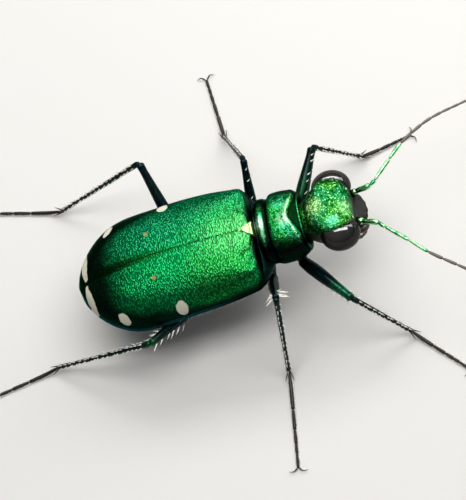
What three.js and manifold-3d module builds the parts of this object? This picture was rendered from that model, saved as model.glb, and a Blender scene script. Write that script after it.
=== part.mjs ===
// A six-spotted tiger beetle, life size and still, standing on its six legs.
// Millimetres, with +X ahead of the animal, +Y to its left, +Z up and the floor at Z = 0.
import * as THREE from "three";
import { mergeVertices } from "three/addons/utils/BufferGeometryUtils.js";
import Module from "manifold-3d";

const wasm = await Module();
wasm.setup();
const { Manifold, Mesh: SolidMesh } = wasm;

// Clearance that neighbouring nodes keep, the same in a rounded room, whose facets take some
// of it up, thickness of the wing covers, and the shortest edge kept.
const GAP = 0.1;
const ROOM = 0.12;
const SHELL = 0.5;
const SMALLEST_DETAIL = 0.01;

// Trunk: its frame lies at the front of the wing covers, level with their side margins.
const TRUNK_HEIGHT = 3.3;
const TRUNK_PITCH = 4;

// Wing covers, with s running from 0 at the front to 1 at the tip.
const ELYTRA_LENGTH = 7.7;
const ELYTRA_HALF_WIDTH = 2.45;
const ELYTRA_CROWN = 1.38;
const SHOULDER = 0.06;
const TIP_START = 0.645;
const CROWN_PEAK = 0.35;
const DOME_POWER = 2.3;
const SHOULDER_POWER = 2.9;
const RIM_DIP = 0.3;

// Underside: it widens almost to the margins below the wing covers.
const RIM_INSET = 0.12;
const BELLY_DEPTH = 1.42;
const BELLY_POWER = 1.75;
const BELLY_TIP = 0.985;
const WAIST = 0.4;
const SEGMENT_GROOVES = 6;
const GROOVE_DEPTH = 0.05;

// Scutellum: the small triangle between the wing covers' front corners.
const SCUTELLUM_LENGTH = 0.55;
const SCUTELLUM_HALF_WIDTH = 0.34;

// Prothorax: a barrel with a groove behind each rim, tilted up from the trunk.
const PRONOTUM_PLACE = new THREE.Vector3(0.1, 0, 3.66);
const PRONOTUM_PITCH = 7;
const PRONOTUM_LENGTH = 1.9;
const PRONOTUM_HALF_WIDTH = 1.47;
const PRONOTUM_TOP = 1.04;
const PRONOTUM_BOTTOM = 1.12;
const COLLAR_SLANT = 28;
const COLLAR_X = 0.12;

// Head: its frame lies at the neck.
const NECK_PLACE = new THREE.Vector3(2.0, 0, 3.88);
const HEAD_YAW = -0.5;
const HEAD_LENGTH = 2.0;
const NECK_RADII = new THREE.Vector3(0.6, 0.9, 0.8);
const EYE_PLACE = new THREE.Vector3(1.3, 0.98, 0.25);
const EYE_RADII = new THREE.Vector3(0.83, 0.74, 0.75);
const EYE_INNER_FACE = 0.45;
const LABRUM_LENGTH = 0.42;
const LABRUM_HALF_WIDTH = 0.8;

// Feelers: eleven joints each, thinnest at the tip, rooted in the head before the eyes.
const FEELER_ROOT = new THREE.Vector3(2.1, 0.6, 0.1);
const FEELER_RADIUS = 0.25;
const FEELER_TIP_RADIUS = 0.13;
const FEELER_SOCKET_RADIUS = 0.28;

// Legs: radii of each stretch, and the heights at which the foot's middle starts and ends.
const COXA_RADIUS = 0.45;
const TROCHANTER_RADIUS = 0.31;
const FEMUR_RADIUS = 0.28;
const KNEE_RADIUS = 0.27;
const TIBIA_RADIUS = 0.25;
const FOOT_RADIUS = 0.25;
const TOE_RADIUS = 0.18;
const FOOT_HEIGHT = 0.19;
const TOE_HEIGHT = 0.12;
const FOOT_JOINTS = 5;
const CLAW_LENGTH = 0.42;

const { degToRad: radians, lerp, smoothstep } = THREE.MathUtils;
const vec = (x, y, z) => new THREE.Vector3(x, y, z);

// The frames of the trunk, the prothorax and the head.
function frameOf(place, yaw, pitchUp) {
  const turn = new THREE.Euler(0, -radians(pitchUp), radians(yaw), "ZYX");
  return new THREE.Matrix4().makeRotationFromEuler(turn).setPosition(place);
}
const TRUNK = frameOf(vec(0, 0, TRUNK_HEIGHT), 0, TRUNK_PITCH);
const PROTHORAX = frameOf(PRONOTUM_PLACE, 0, PRONOTUM_PITCH);
const HEAD = frameOf(NECK_PLACE, HEAD_YAW, 0);

// A closed geometry as a solid for cutting and joining, moved into a frame if one is given.
function solid(geometry, frame = new THREE.Matrix4()) {
  const bare = geometry.clone().applyMatrix4(frame);
  bare.deleteAttribute("normal");
  bare.deleteAttribute("uv");
  const merged = mergeVertices(bare, 1e-5);
  return new Manifold(
    new SolidMesh({
      numProp: 3,
      vertProperties: merged.attributes.position.array,
      triVerts: new Uint32Array(merged.index.array),
    }),
  );
}

// A skin over rings of equal point count, closed at both ends. The rings turn
// anticlockwise about the direction in which they follow one another.
function loft(rings) {
  const count = rings[0].length;
  const points = rings.flat();
  const faces = [];
  for (let i = 0; i + 1 < rings.length; i += 1) {
    for (let j = 0; j < count; j += 1) {
      const a = i * count + j;
      const b = i * count + ((j + 1) % count);
      faces.push(a, b, a + count, b, b + count, a + count);
    }
  }
  for (const [ring, first] of [[rings[0], 0], [rings.at(-1), (rings.length - 1) * count]]) {
    const middle = ring.reduce((sum, p) => sum.add(p), vec(0, 0, 0)).divideScalar(count);
    points.push(middle);
    for (let j = 0; j < count; j += 1) {
      const pair = [first + j, first + ((j + 1) % count)];
      faces.push(points.length - 1, ...(first === 0 ? pair.reverse() : pair));
    }
  }
  const geometry = new THREE.BufferGeometry().setFromPoints(points);
  geometry.setIndex(faces);
  return geometry;
}

// Values from one end to the other, packed closer towards both ends.
function spread(count, from, to) {
  const share = (i) => (1 - Math.cos((Math.PI * i) / count)) / 2;
  return Array.from({ length: count + 1 }, (_, i) => from + (to - from) * share(i));
}

// An arc of a superellipse across the body at station x, from one angle to another.
function arc(x, halfWidth, height, power, from, to, count) {
  const bend = (v) => Math.sign(v) * Math.abs(v) ** (2 / power);
  return Array.from({ length: count + 1 }, (_, i) => {
    const angle = from + ((to - from) * i) / count;
    return vec(x, halfWidth * bend(Math.cos(angle)), height * bend(Math.sin(angle)));
  });
}

// A full ring across the body, with its own height above and below its middle.
function ring(x, halfWidth, top, bottom, power, count) {
  const above = arc(x, halfWidth, top, power, 0, Math.PI, count);
  const below = arc(x, halfWidth, bottom, power, Math.PI, 2 * Math.PI, count);
  return [...above.slice(0, -1), ...below.slice(0, -1)];
}

// A round limb along a path, with a radius for each share of its length.
function limb(points, radiusAt, sides, steps) {
  const path = new THREE.CatmullRomCurve3(points, false, "centripetal");
  const frames = path.computeFrenetFrames(steps, false);
  const rings = [];
  for (let i = 0; i <= steps; i += 1) {
    const middle = path.getPointAt(i / steps);
    const radius = radiusAt(i / steps);
    rings.push(
      Array.from({ length: sides }, (_, j) => {
        const angle = (2 * Math.PI * j) / sides;
        return middle
          .clone()
          .addScaledVector(frames.normals[i], radius * Math.cos(angle))
          .addScaledVector(frames.binormals[i], radius * Math.sin(angle));
      }),
    );
  }
  return loft(rings);
}

// An egg-shaped lump about a point.
function lump(place, radii, around = 8, down = 6) {
  const egg = new THREE.SphereGeometry(1, around, down);
  return egg.scale(radii.x, radii.y, radii.z).translate(place.x, place.y, place.z);
}
const ball = (place, radius, around, down) => lump(place, vec(radius, radius, radius), around, down);

const mirror = (place, side) => vec(place.x, place.y * side, place.z);
const SIDES = [
  { side: 1, hand: "left" },
  { side: -1, hand: "right" },
];
const grown = (radii, by) => radii.clone().addScalar(by);

// Half width and crown height of the wing covers at share s of their length.
const roundOff = (t, power) => Math.max(0, 1 - Math.max(0, t) ** power);
function elytraHalfWidth(s) {
  const flare = 1 - 0.15 * Math.max(0, 1 - s / 0.5) ** 2.6;
  const shoulder = roundOff(1 - s / SHOULDER, 3) ** (1 / 3);
  const tip = roundOff((s - TIP_START) / (1 - TIP_START), 2) ** 0.625;
  return ELYTRA_HALF_WIDTH * flare * shoulder * tip;
}
function elytraCrown(s) {
  const front = 1 - 0.12 * Math.max(0, 1 - s / CROWN_PEAK) ** 2;
  const edge = 0.7 + 0.3 * roundOff(1 - s / SHOULDER, 3) ** (1 / 3);
  const tip = roundOff((s - CROWN_PEAK) / (1 - CROWN_PEAK), 2.4) ** 0.6;
  return ELYTRA_CROWN * front * edge * tip;
}

// How far the side margin dips below the trunk's frame, most at two thirds of its length.
const rimDip = (s) => RIM_DIP * Math.exp(-(((s - 0.72) / 0.26) ** 2));

// The dome of the wing covers, drawn in by an inset and cut off below the margin by a skirt.
function dome(inset, skirt, from, to, stations, count) {
  const rings = spread(stations, to, from).map((s) => {
    const halfWidth = Math.max(0.01, elytraHalfWidth(s) - inset);
    const base = -rimDip(s) - skirt;
    const height = Math.max(0.01, elytraCrown(s) - inset) - base;
    const power = lerp(SHOULDER_POWER, DOME_POWER, Math.min(1, s / 0.4));
    const row = arc(-ELYTRA_LENGTH * s, halfWidth, height, power, 0, Math.PI, count);
    return row.map((p) => p.setZ(p.z + base));
  });
  return solid(loft(rings));
}

// Wing covers: one dome, hollowed, parted along the seam and notched for the scutellum.
function wingCovers() {
  const outer = dome(0, 0, 0.004, 0.998, 26, 32);
  const hollow = dome(SHELL, 0.3, 0.07, 0.93, 16, 20);
  const notch = (margin) => {
    const outline = new THREE.Shape([
      new THREE.Vector2(1, -SCUTELLUM_HALF_WIDTH - margin),
      new THREE.Vector2(1, SCUTELLUM_HALF_WIDTH + margin),
      new THREE.Vector2(0, SCUTELLUM_HALF_WIDTH + margin),
      new THREE.Vector2(-SCUTELLUM_LENGTH - 1.5 * margin, 0),
      new THREE.Vector2(0, -SCUTELLUM_HALF_WIDTH - margin),
    ]);
    const block = new THREE.ExtrudeGeometry(outline, { depth: 3, bevelEnabled: false });
    return solid(block.translate(0, 0, -0.5));
  };
  const shell = outer.subtract(hollow).subtract(notch(GAP));
  return {
    left: shell.trimByPlane([0, 1, 0], GAP / 2).transform(TRUNK.elements),
    right: shell.trimByPlane([0, -1, 0], GAP / 2).transform(TRUNK.elements),
    scutellum: outer.intersect(notch(0)).subtract(hollow).transform(TRUNK.elements),
  };
}

// Depth of the underside below the margins, with a groove between its segments.
function bellyDepth(s) {
  const front = 1 - 0.45 * Math.max(0, (0.08 - s) / 0.15) ** 2;
  const rear = roundOff((s - 0.25) / 0.78, 2.2) ** 0.7;
  return BELLY_DEPTH * front * rear;
}
const grooveAt = (k) => WAIST + 0.03 + (0.54 * (k + 0.5)) / SEGMENT_GROOVES;

// The trunk's core: the part under the wing covers, and the wider underside.
function trunkCore() {
  const grooves = Array.from({ length: SEGMENT_GROOVES }, (_, k) => grooveAt(k));
  const stations = [
    ...spread(10, WAIST, BELLY_TIP),
    ...spread(9, -0.07, WAIST).slice(0, -1),
    ...grooves.flatMap((s) => [s - 0.012, s, s + 0.012]),
  ].sort((a, b) => b - a);
  const rings = stations.map((s) => {
    const dent = grooves.some((g) => Math.abs(g - s) < 1e-6) ? 1 - GROOVE_DEPTH : 1;
    const neck = smoothstep(s, -0.09, 0.05);
    const halfWidth = neck * (elytraHalfWidth(Math.max(s, SHOULDER)) - RIM_INSET) + (1 - neck) * 1.0;
    const row = arc(
      -ELYTRA_LENGTH * s,
      halfWidth * (1 + (dent - 1) / 2),
      (bellyDepth(s) - 0.6 * rimDip(s)) * dent,
      BELLY_POWER,
      Math.PI,
      2 * Math.PI,
      20,
    );
    return row.map((p) => p.setZ(p.z - GAP - rimDip(s)));
  });
  return dome(SHELL + GAP, 0.4, 0.085, 0.915, 12, 16).add(solid(loft(rings)));
}

// The slanted face where prothorax and trunk meet, as a normal and its offset.
const SLANT = vec(Math.cos(radians(COLLAR_SLANT)), 0, Math.sin(radians(COLLAR_SLANT)));
const SLANT_OFFSET = SLANT.x * COLLAR_X;

// Prothorax: the barrel with its two grooves.
function prothorax() {
  const dip = (x, at, width) => Math.exp(-(((x - at) / width) ** 2));
  const stations = [...spread(10, 0, PRONOTUM_LENGTH), 0.26, 0.32, 0.38, 1.52, 1.58, 1.64];
  const rings = stations
    .sort((a, b) => a - b)
    .map((x) => {
      const bulge = 1 - 0.2 * Math.abs((x - 0.98) / 0.95) ** 2.6;
      const size = bulge - 0.07 * dip(x, 0.32, 0.08) - 0.06 * dip(x, 1.58, 0.08);
      const top = size * PRONOTUM_TOP;
      return ring(x, size * PRONOTUM_HALF_WIDTH, top, size * PRONOTUM_BOTTOM, 2.15, 14);
    });
  return solid(loft(rings), PROTHORAX);
}

// Head capsule: half width, top and bottom along it, each a smooth curve through a few sizes.
const HEAD_STATIONS = [-0.2, 0.25, 0.7, 1.15, 1.55, 1.83, HEAD_LENGTH];
const HEAD_HALF_WIDTHS = [0.8, 1.0, 1.1, 1.12, 1.02, 0.86, 0.72];
const HEAD_TOPS = [0.62, 0.82, 0.93, 0.92, 0.78, 0.55, 0.3];
const HEAD_BOTTOMS = [0.7, 0.9, 1.0, 1.08, 1.08, 1.02, 0.92];
function headCapsule() {
  const curve = (sizes) => {
    const points = HEAD_STATIONS.map((x, i) => new THREE.Vector2(x, sizes[i]));
    const line = new THREE.SplineCurve(points);
    return (t) => line.getPoint(t);
  };
  const width = curve(HEAD_HALF_WIDTHS);
  const top = curve(HEAD_TOPS);
  const bottom = curve(HEAD_BOTTOMS);
  const rings = Array.from({ length: 17 }, (_, i) => {
    const t = i / 16;
    return ring(width(t).x, width(t).y, top(t).y, bottom(t).y, 2.7, 14);
  });
  return solid(loft(rings), HEAD);
}

// Eyes: an egg on each side, flat where it sits on the head, grown by a margin.
function eye(side, margin, around, down) {
  return solid(lump(mirror(EYE_PLACE, side), grown(EYE_RADII, margin), around, down))
    .trimByPlane([0, side, 0], EYE_INNER_FACE - margin)
    .transform(HEAD.elements);
}

// Upper lip: a short plate that slopes down from the front of the head.
function labrum() {
  const start = HEAD_LENGTH + GAP;
  const rings = spread(6, 0, 1).map((t) => {
    const round = Math.max(0.05, 1 - t ** 2.2) ** 0.5;
    const row = ring(start + LABRUM_LENGTH * t, LABRUM_HALF_WIDTH * round, 0.27, 0.27, 3, 8);
    return row.map((p) => p.setZ(p.z * (0.45 + 0.55 * round) - 0.3 - 0.1 * t));
  });
  return solid(loft(rings), HEAD);
}

// Jaws: two sickles under the lip, the left passing over the right, grown by a margin.
function mandible(side, margin) {
  const tipLevel = side > 0 ? -1.0 : -1.36;
  const sickle = limb(
    [
      vec(HEAD_LENGTH - 0.15 - margin, 0.6 * side, -0.82),
      vec(HEAD_LENGTH + 0.15, 0.64 * side, -0.94),
      vec(HEAD_LENGTH + 0.34, 0.35 * side, (tipLevel - 0.97) / 2),
      vec(HEAD_LENGTH + 0.34, 0.02 * side, tipLevel),
    ],
    (t) => 0.25 - 0.15 * t * t + margin,
    8,
    9,
  );
  return solid(sickle, HEAD);
}

// Palps: a jointed feeler of the mouth on each side, rooted in the head and folded under it.
function palp(side) {
  const rod = limb(
    [
      vec(1.4, 0.5 * side, -0.85),
      vec(1.72, 0.66 * side, -1.27),
      vec(1.98, 0.55 * side, -1.55),
      vec(2.18, 0.3 * side, -1.68),
    ],
    (t) => 0.25 - 0.09 * t,
    7,
    8,
  );
  return solid(rod, HEAD);
}

// Feelers: where each passes and ends, in the animal's own frame.
const FEELERS = {
  antenna_left: [
    [4.84, 0.5, 4.46],
    [5.21, 0.7, 4.53],
    [5.76, 1.32, 4.58],
    [6.47, 1.95, 4.63],
    [7.68, 2.63, 4.58],
    [9.36, 3.3, 4.05],
  ],
  antenna_right: [
    [4.82, -1.06, 4.42],
    [5.14, -1.38, 4.48],
    [5.92, -2.2, 4.53],
    [6.55, -2.86, 4.53],
    [7.84, -3.89, 4.38],
    [9.5, -5.05, 3.8],
  ],
};
function feelerRoute(name) {
  const side = name.endsWith("left") ? 1 : -1;
  return [mirror(FEELER_ROOT, side).applyMatrix4(HEAD), ...FEELERS[name].map((p) => vec(...p))];
}
function feeler(name) {
  const route = feelerRoute(name);
  const radiusAt = (t) => FEELER_RADIUS - (FEELER_RADIUS - FEELER_TIP_RADIUS) * t ** 2;
  return solid(limb(route, radiusAt, 7, 26)).add(solid(ball(route[0], FEELER_SOCKET_RADIUS)));
}

// The room that a feeler's root and first joint need.
function feelerRoom(name) {
  const [root, next] = feelerRoute(name);
  const socket = solid(ball(root, FEELER_SOCKET_RADIUS + ROOM, 12, 8));
  return socket.add(solid(limb([root, next], () => FEELER_RADIUS + ROOM, 10, 3)));
}

// Legs: the hip of each pair, and the knee, ankle and toe of each leg. The swing says how many
// degrees the thigh's root is turned back from the line between hip and knee.
const HIPS = {
  front: vec(1.35, 0.55, 2.6),
  middle: vec(-0.05, 0.7, 2.0),
  hind: vec(-2.85, 0.9, 1.9),
};
const LEGS = {
  leg_front_left: {
    swing: 0,
    knee: [2.83, 3.38, 3.2],
    ankle: [4.49, 3.79, 0.3],
    toe: [6.65, 4.27],
  },
  leg_front_right: {
    swing: 22,
    knee: [3.1, -3.38, 3.0],
    ankle: [4.97, -4.29, 0.3],
    toe: [6.82, -6.3],
  },
  leg_middle_left: {
    swing: 20,
    knee: [0.01, 3.48, 3.5],
    ankle: [-0.94, 6.19, 0.3],
    toe: [-1.22, 9.1],
  },
  leg_middle_right: {
    swing: 0,
    knee: [0.21, -2.92, 3.8],
    ankle: [-0.26, -4.78, 0.3],
    toe: [-0.69, -8.75],
  },
  leg_hind_left: {
    swing: 32,
    knee: [-4.17, 4.34, 3.75],
    ankle: [-8.29, 4.73, 0.3],
    toe: [-11.8, 5.65],
  },
  leg_hind_right: {
    swing: -20,
    knee: [-5.2, -3.19, 3.0],
    ankle: [-9.56, -2.09, 0.3],
    toe: [-13.1, -2.75],
  },
};
function jointsOf(name) {
  const [, pair, hand] = name.split("_");
  const side = hand === "left" ? 1 : -1;
  const hip = mirror(HIPS[pair], side);
  const knee = vec(...LEGS[name].knee);
  const outward = knee.clone().sub(hip).setZ(0).normalize();
  outward.applyAxisAngle(vec(0, 0, 1), radians(LEGS[name].swing * side));
  const thigh = hip.clone().addScaledVector(outward, 0.5).setZ(hip.z - 0.28);
  const toe = vec(...LEGS[name].toe, TOE_HEIGHT);
  return { hip, thigh, knee, ankle: vec(...LEGS[name].ankle), toe };
}

// The hip ball and the thigh's root, grown by a margin: the leg's own, or the room it needs.
function legRoot({ hip, thigh, knee }, margin, around, down) {
  const femur = limb([thigh, knee], () => FEMUR_RADIUS + margin, around, 4);
  return solid(ball(hip, COXA_RADIUS + margin, around, down))
    .add(solid(ball(thigh, TROCHANTER_RADIUS + margin, around, down)))
    .add(solid(femur));
}

// The foot: five joints, each widening to its end, and two spread claws.
function foot({ ankle, toe }) {
  const along = toe.clone().sub(ankle).setZ(0).normalize();
  const across = vec(-along.y, along.x, 0);
  const start = ankle.clone().setZ(FOOT_HEIGHT);
  const widening = (t) => {
    const part = (t * FOOT_JOINTS) % 1;
    const radius = FOOT_RADIUS + (TOE_RADIUS - FOOT_RADIUS) * t;
    return radius * (0.8 + 0.2 * part);
  };
  const sole = solid(limb([ankle, start.addScaledVector(along, 0.4), toe], widening, 7, 15));
  const claws = [1, -1].map((hand) => {
    const tip = toe.clone().addScaledVector(along, CLAW_LENGTH).addScaledVector(across, 0.3 * hand);
    const bend = toe.clone().addScaledVector(along, 0.3).addScaledVector(across, 0.12 * hand);
    bend.z += 0.04;
    tip.z -= 0.05;
    const root = toe.clone().addScaledVector(along, -0.12);
    return solid(limb([root, bend, tip], (t) => 0.12 - 0.07 * t, 5, 4));
  });
  return claws.reduce((sum, claw) => sum.add(claw), sole);
}

function leg(name) {
  const joints = jointsOf(name);
  const { hip, thigh, knee, ankle } = joints;
  const spindle = (t) => FEMUR_RADIUS - (FEMUR_RADIUS - TIBIA_RADIUS) * Math.max(0, (t - 0.3) / 0.7);
  const shaft = limb([knee, ankle], () => TIBIA_RADIUS, 8, 1);
  return solid(ball(hip, COXA_RADIUS, 10, 8))
    .add(solid(ball(thigh, TROCHANTER_RADIUS)))
    .add(solid(limb([thigh, knee], spindle, 8, 5)))
    .add(solid(ball(knee, KNEE_RADIUS)))
    .add(solid(shaft))
    .add(solid(ball(ankle, TIBIA_RADIUS + 0.01)))
    .add(foot(joints))
    .simplify(SMALLEST_DETAIL)
    .trimByPlane([0, 0, 1], 0);
}

// Colours and surfaces.
const paint = (color, roughness, metalness) =>
  new THREE.MeshStandardMaterial({ color, roughness, metalness });
const GREEN = paint(0x1aa05c, 0.35, 0.8);
const BRIGHT_GREEN = paint(0x4cc678, 0.35, 0.8);
const PALE_GREEN = paint(0xa8e69a, 0.35, 0.7);
const DARK_GREEN = paint(0x123a2c, 0.4, 0.6);
const UNDERSIDE = paint(0x14473f, 0.35, 0.6);
const EYE = paint(0x2a1f14, 0.15, 0);
const LIP = paint(0x2b2822, 0.4, 0.1);
const JAW = paint(0x3a2a1c, 0.35, 0.1);
const FEELER = paint(0x35634a, 0.4, 0.5);

const beetle = new THREE.Group();

// A named mesh of a solid's largest body, with edges shorter than the finest step merged.
function addNode(name, body, material, finest = SMALLEST_DETAIL) {
  const bodies = body.simplify(finest).decompose();
  const largest = bodies.sort((a, b) => b.volume() - a.volume())[0];
  const { vertProperties, triVerts } = largest.getMesh();
  const geometry = new THREE.BufferGeometry();
  geometry.setAttribute("position", new THREE.BufferAttribute(vertProperties, 3));
  geometry.setIndex(new THREE.BufferAttribute(triVerts, 1));
  geometry.computeVertexNormals();
  const mesh = new THREE.Mesh(geometry, material);
  mesh.name = name;
  beetle.add(mesh);
}

// What is left of a body once the rooms of its neighbours are cut out of it.
const cutBy = (body, rooms) => rooms.reduce((rest, room) => rest.subtract(room), body);
const legRooms = Object.keys(LEGS).map((name) => legRoot(jointsOf(name), ROOM, 12, 8));

const covers = wingCovers();
addNode("elytron_left", cutBy(covers.left, legRooms), GREEN);
addNode("elytron_right", cutBy(covers.right, legRooms), GREEN);
addNode("scutellum", covers.scutellum, PALE_GREEN);

const core = trunkCore();
const waistX = -ELYTRA_LENGTH * WAIST;
const chest = core
  .trimByPlane([1, 0, 0], waistX + GAP / 2)
  .trimByPlane(SLANT.clone().negate().toArray(), -SLANT_OFFSET + GAP / 2)
  .transform(TRUNK.elements);
const abdomen = core.trimByPlane([-1, 0, 0], -waistX + GAP / 2).transform(TRUNK.elements);
const neck = (margin) => solid(lump(vec(0, 0, 0), grown(NECK_RADII, margin), 14, 10), HEAD);
const shield = prothorax()
  .transform(TRUNK.clone().invert().elements)
  .trimByPlane(SLANT.toArray(), SLANT_OFFSET + GAP / 2)
  .transform(TRUNK.elements)
  .subtract(neck(ROOM));
addNode("thorax", cutBy(chest, legRooms), UNDERSIDE);
addNode("abdomen", cutBy(abdomen, legRooms), UNDERSIDE);
addNode("pronotum", cutBy(shield, legRooms), BRIGHT_GREEN);

// The head's rear face runs parallel to the prothorax's front face.
const ahead = vec(1, 0, 0).transformDirection(PROTHORAX);
const headStart = ahead.dot(PRONOTUM_PLACE) + PRONOTUM_LENGTH + GAP;
const capsule = headCapsule().trimByPlane(ahead.toArray(), headStart).add(neck(0));
const feelerRooms = Object.keys(FEELERS).map(feelerRoom);
const jawRooms = SIDES.map(({ side }) => mandible(side, ROOM));
const eyeRooms = SIDES.map(({ side }) => eye(side, ROOM, 18, 14));
const head = cutBy(capsule.add(palp(1)).add(palp(-1)), [...feelerRooms, ...jawRooms, ...eyeRooms]);
addNode("head", head, BRIGHT_GREEN);
addNode("labrum", cutBy(labrum(), [...feelerRooms, ...jawRooms]), LIP);
for (const { side, hand } of SIDES) {
  addNode("eye_" + hand, cutBy(eye(side, 0, 16, 12), feelerRooms), EYE);
  addNode("mandible_" + hand, mandible(side, 0), JAW);
}
for (const name of Object.keys(FEELERS)) {
  addNode(name, feeler(name), FEELER);
}
for (const name of Object.keys(LEGS)) {
  addNode(name, leg(name), DARK_GREEN, SMALLEST_DETAIL / 10);
}

// The origin lies on the floor under the middle of the whole animal.
const bounds = new THREE.Box3().setFromObject(beetle);
const middle = bounds.getCenter(vec(0, 0, 0));
beetle.position.set(-middle.x, -middle.y, -bounds.min.z);

export default beetle;
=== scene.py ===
import math

import bpy
import numpy as np
from mathutils import Matrix, Vector


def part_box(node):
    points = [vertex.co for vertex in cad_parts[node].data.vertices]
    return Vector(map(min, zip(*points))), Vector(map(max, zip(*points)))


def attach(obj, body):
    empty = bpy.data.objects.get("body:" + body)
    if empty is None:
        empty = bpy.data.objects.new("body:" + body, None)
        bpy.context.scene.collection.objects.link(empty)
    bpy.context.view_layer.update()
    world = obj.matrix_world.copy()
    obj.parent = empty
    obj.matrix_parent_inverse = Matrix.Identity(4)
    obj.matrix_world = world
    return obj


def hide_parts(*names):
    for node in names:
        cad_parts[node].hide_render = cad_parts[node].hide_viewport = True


# A tiger beetle, life size and still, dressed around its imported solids.
# Sizes are in millimetres in the animal's own frame, with +X ahead, +Y to its left and +Z up.
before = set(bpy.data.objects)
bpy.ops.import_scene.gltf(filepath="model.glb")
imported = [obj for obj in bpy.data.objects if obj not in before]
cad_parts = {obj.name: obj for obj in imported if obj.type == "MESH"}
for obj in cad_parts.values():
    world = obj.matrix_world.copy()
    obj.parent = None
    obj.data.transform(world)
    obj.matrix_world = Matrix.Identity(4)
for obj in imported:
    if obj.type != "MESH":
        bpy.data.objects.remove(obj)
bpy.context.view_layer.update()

# Wing covers
# Two hard horny shells over the back, made as thin closed skins that meet along the seam, with
# a raised bead round the side margin, a finely grained metallic green face and ivory spots.
MM = 0.001
HEAD_PLACE = (2.0, 0.0, 3.88)
HEAD_YAW = -0.5
EYE_PLACE = (1.3, 0.98, 0.25)
TRUNK_PLACE = (0.0, 0.0, 3.3)
TRUNK_PITCH = 4.0


def frame_of(place, yaw=0.0, pitch_up=0.0):
    turn = Matrix.Rotation(math.radians(yaw), 4, "Z") @ Matrix.Rotation(-math.radians(pitch_up), 4, "Y")
    return np.array(Matrix.Translation(place) @ turn)


def moved(points, spot):
    return np.asarray(points, float) @ spot[:3, :3].T + spot[:3, 3]


HEAD = frame_of(HEAD_PLACE, HEAD_YAW)
TRUNK = frame_of(TRUNK_PLACE, 0.0, TRUNK_PITCH)
ANIMAL = np.eye(4)
eye_low, eye_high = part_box("eye_left")
ORIGIN = np.array((eye_low + eye_high) / 2) / MM - moved(EYE_PLACE, HEAD)
ORIGIN[1] = (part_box("elytron_left")[0].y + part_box("elytron_right")[1].y) / 2 / MM


def strip(rows, columns, flip, offset=0, wrap=False):
    """Quads between neighbouring points of a grid, with the grid place of each corner."""
    faces, corners = [], []
    for i in range(rows - 1):
        for j in range(columns if wrap else columns - 1):
            k = (j + 1) % columns
            quad = [i * columns + j, (i + 1) * columns + j, (i + 1) * columns + k, i * columns + k]
            spots = [(i, j), (i + 1, j), (i + 1, j + 1), (i, j + 1)]
            faces.append([offset + q for q in (quad[::-1] if flip else quad)])
            corners.append(spots[::-1] if flip else spots)
    return faces, corners


def outward(shell):
    """A closed shell with its faces turned out."""
    points, faces, uvs = shell
    volume = 0.0
    for face in faces:
        a = points[face[0]]
        for m in range(1, len(face) - 1):
            volume += np.dot(a, np.cross(points[face[m]], points[face[m + 1]]))
    if volume < 0:
        faces = [face[::-1] for face in faces]
        uvs = [spots[::-1] for spots in uvs]
    return points, faces, uvs


def loft(rings, u_at, v_span=(0.0, 1.0)):
    """A closed skin over rings of equal point count, capped at both ends."""
    rings = np.asarray(rings, float)
    rows, columns = rings.shape[:2]
    faces, corners = strip(rows, columns, False, wrap=True)
    v_at = [v_span[0] + (v_span[1] - v_span[0]) * j / columns for j in range(columns + 1)]
    uvs = [[(u_at[i], v_at[j]) for i, j in spots] for spots in corners]
    points = list(rings.reshape(-1, 3))
    for end, flip in ((0, False), (rows - 1, True)):
        points.append(rings[end].mean(axis=0))
        for j in range(columns):
            trio = [end * columns + j, end * columns + (j + 1) % columns, len(points) - 1]
            spots = [(u_at[end], v_at[j]), (u_at[end], v_at[j + 1]), (u_at[end], v_at[j])]
            faces.append(trio[::-1] if flip else trio)
            uvs.append(spots[::-1] if flip else spots)
    return outward((np.array(points), faces, uvs))


def plate(top, under, uv):
    """A closed plate between two grids of points, with the grid's own map on both faces."""
    rows, columns = top.shape[:2]
    size = rows * columns
    faces, corners = strip(rows, columns, False)
    more, spots = strip(rows, columns, True, size)
    faces += more
    corners += spots
    border = [(i, 0) for i in range(rows)]
    border += [(rows - 1, j) for j in range(1, columns)]
    border += [(i, columns - 1) for i in range(rows - 2, -1, -1)]
    border += [(0, j) for j in range(columns - 2, 0, -1)]
    for (a, b), (c, d) in zip(border, border[1:] + border[:1]):
        first, second = a * columns + b, c * columns + d
        faces.append([second, first, size + first, size + second])
        corners.append([(c, d), (a, b), (a, b), (c, d)])
    uvs = [[tuple(uv[i, j]) for i, j in spots] for spots in corners]
    points = np.concatenate([top.reshape(-1, 3), under.reshape(-1, 3)])
    return outward((points, faces, uvs))


def piece(name, shells, spot, material, nodes, crease=38.0, hollow=None):
    """One visible piece: its shells joined in one mesh, in place of the named solids."""
    points, faces, uvs = [], [], []
    count = 0
    for shell_points, shell_faces, shell_uvs in shells:
        points.append(shell_points)
        faces += [[count + k for k in face] for face in shell_faces]
        uvs += [corner for face in shell_uvs for corner in face]
        count += len(shell_points)
    place = (moved(np.concatenate(points), spot) + ORIGIN) * MM
    mesh = bpy.data.meshes.new(name)
    mesh.from_pydata(place.tolist(), [], faces)
    layer = mesh.uv_layers.new(name="shell")
    layer.data.foreach_set("uv", np.array(uvs, float).ravel())
    mesh.polygons.foreach_set("use_smooth", [True] * len(mesh.polygons))
    mesh.set_sharp_from_angle(angle=math.radians(crease))
    if hollow is not None:
        depth = mesh.attributes.new("hollow", "FLOAT", "POINT").data
        depth.foreach_set("value", np.asarray(hollow, float))
    mesh.materials.append(material)
    return dressed(bpy.data.objects.new(name, mesh), nodes)


def dressed(thing, nodes):
    """A finished piece, riding on the animal's one body."""
    if thing.name not in bpy.context.scene.collection.objects:
        bpy.context.scene.collection.objects.link(thing)
    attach(thing, "root")
    if nodes:
        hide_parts(*nodes)
    return thing


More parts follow.
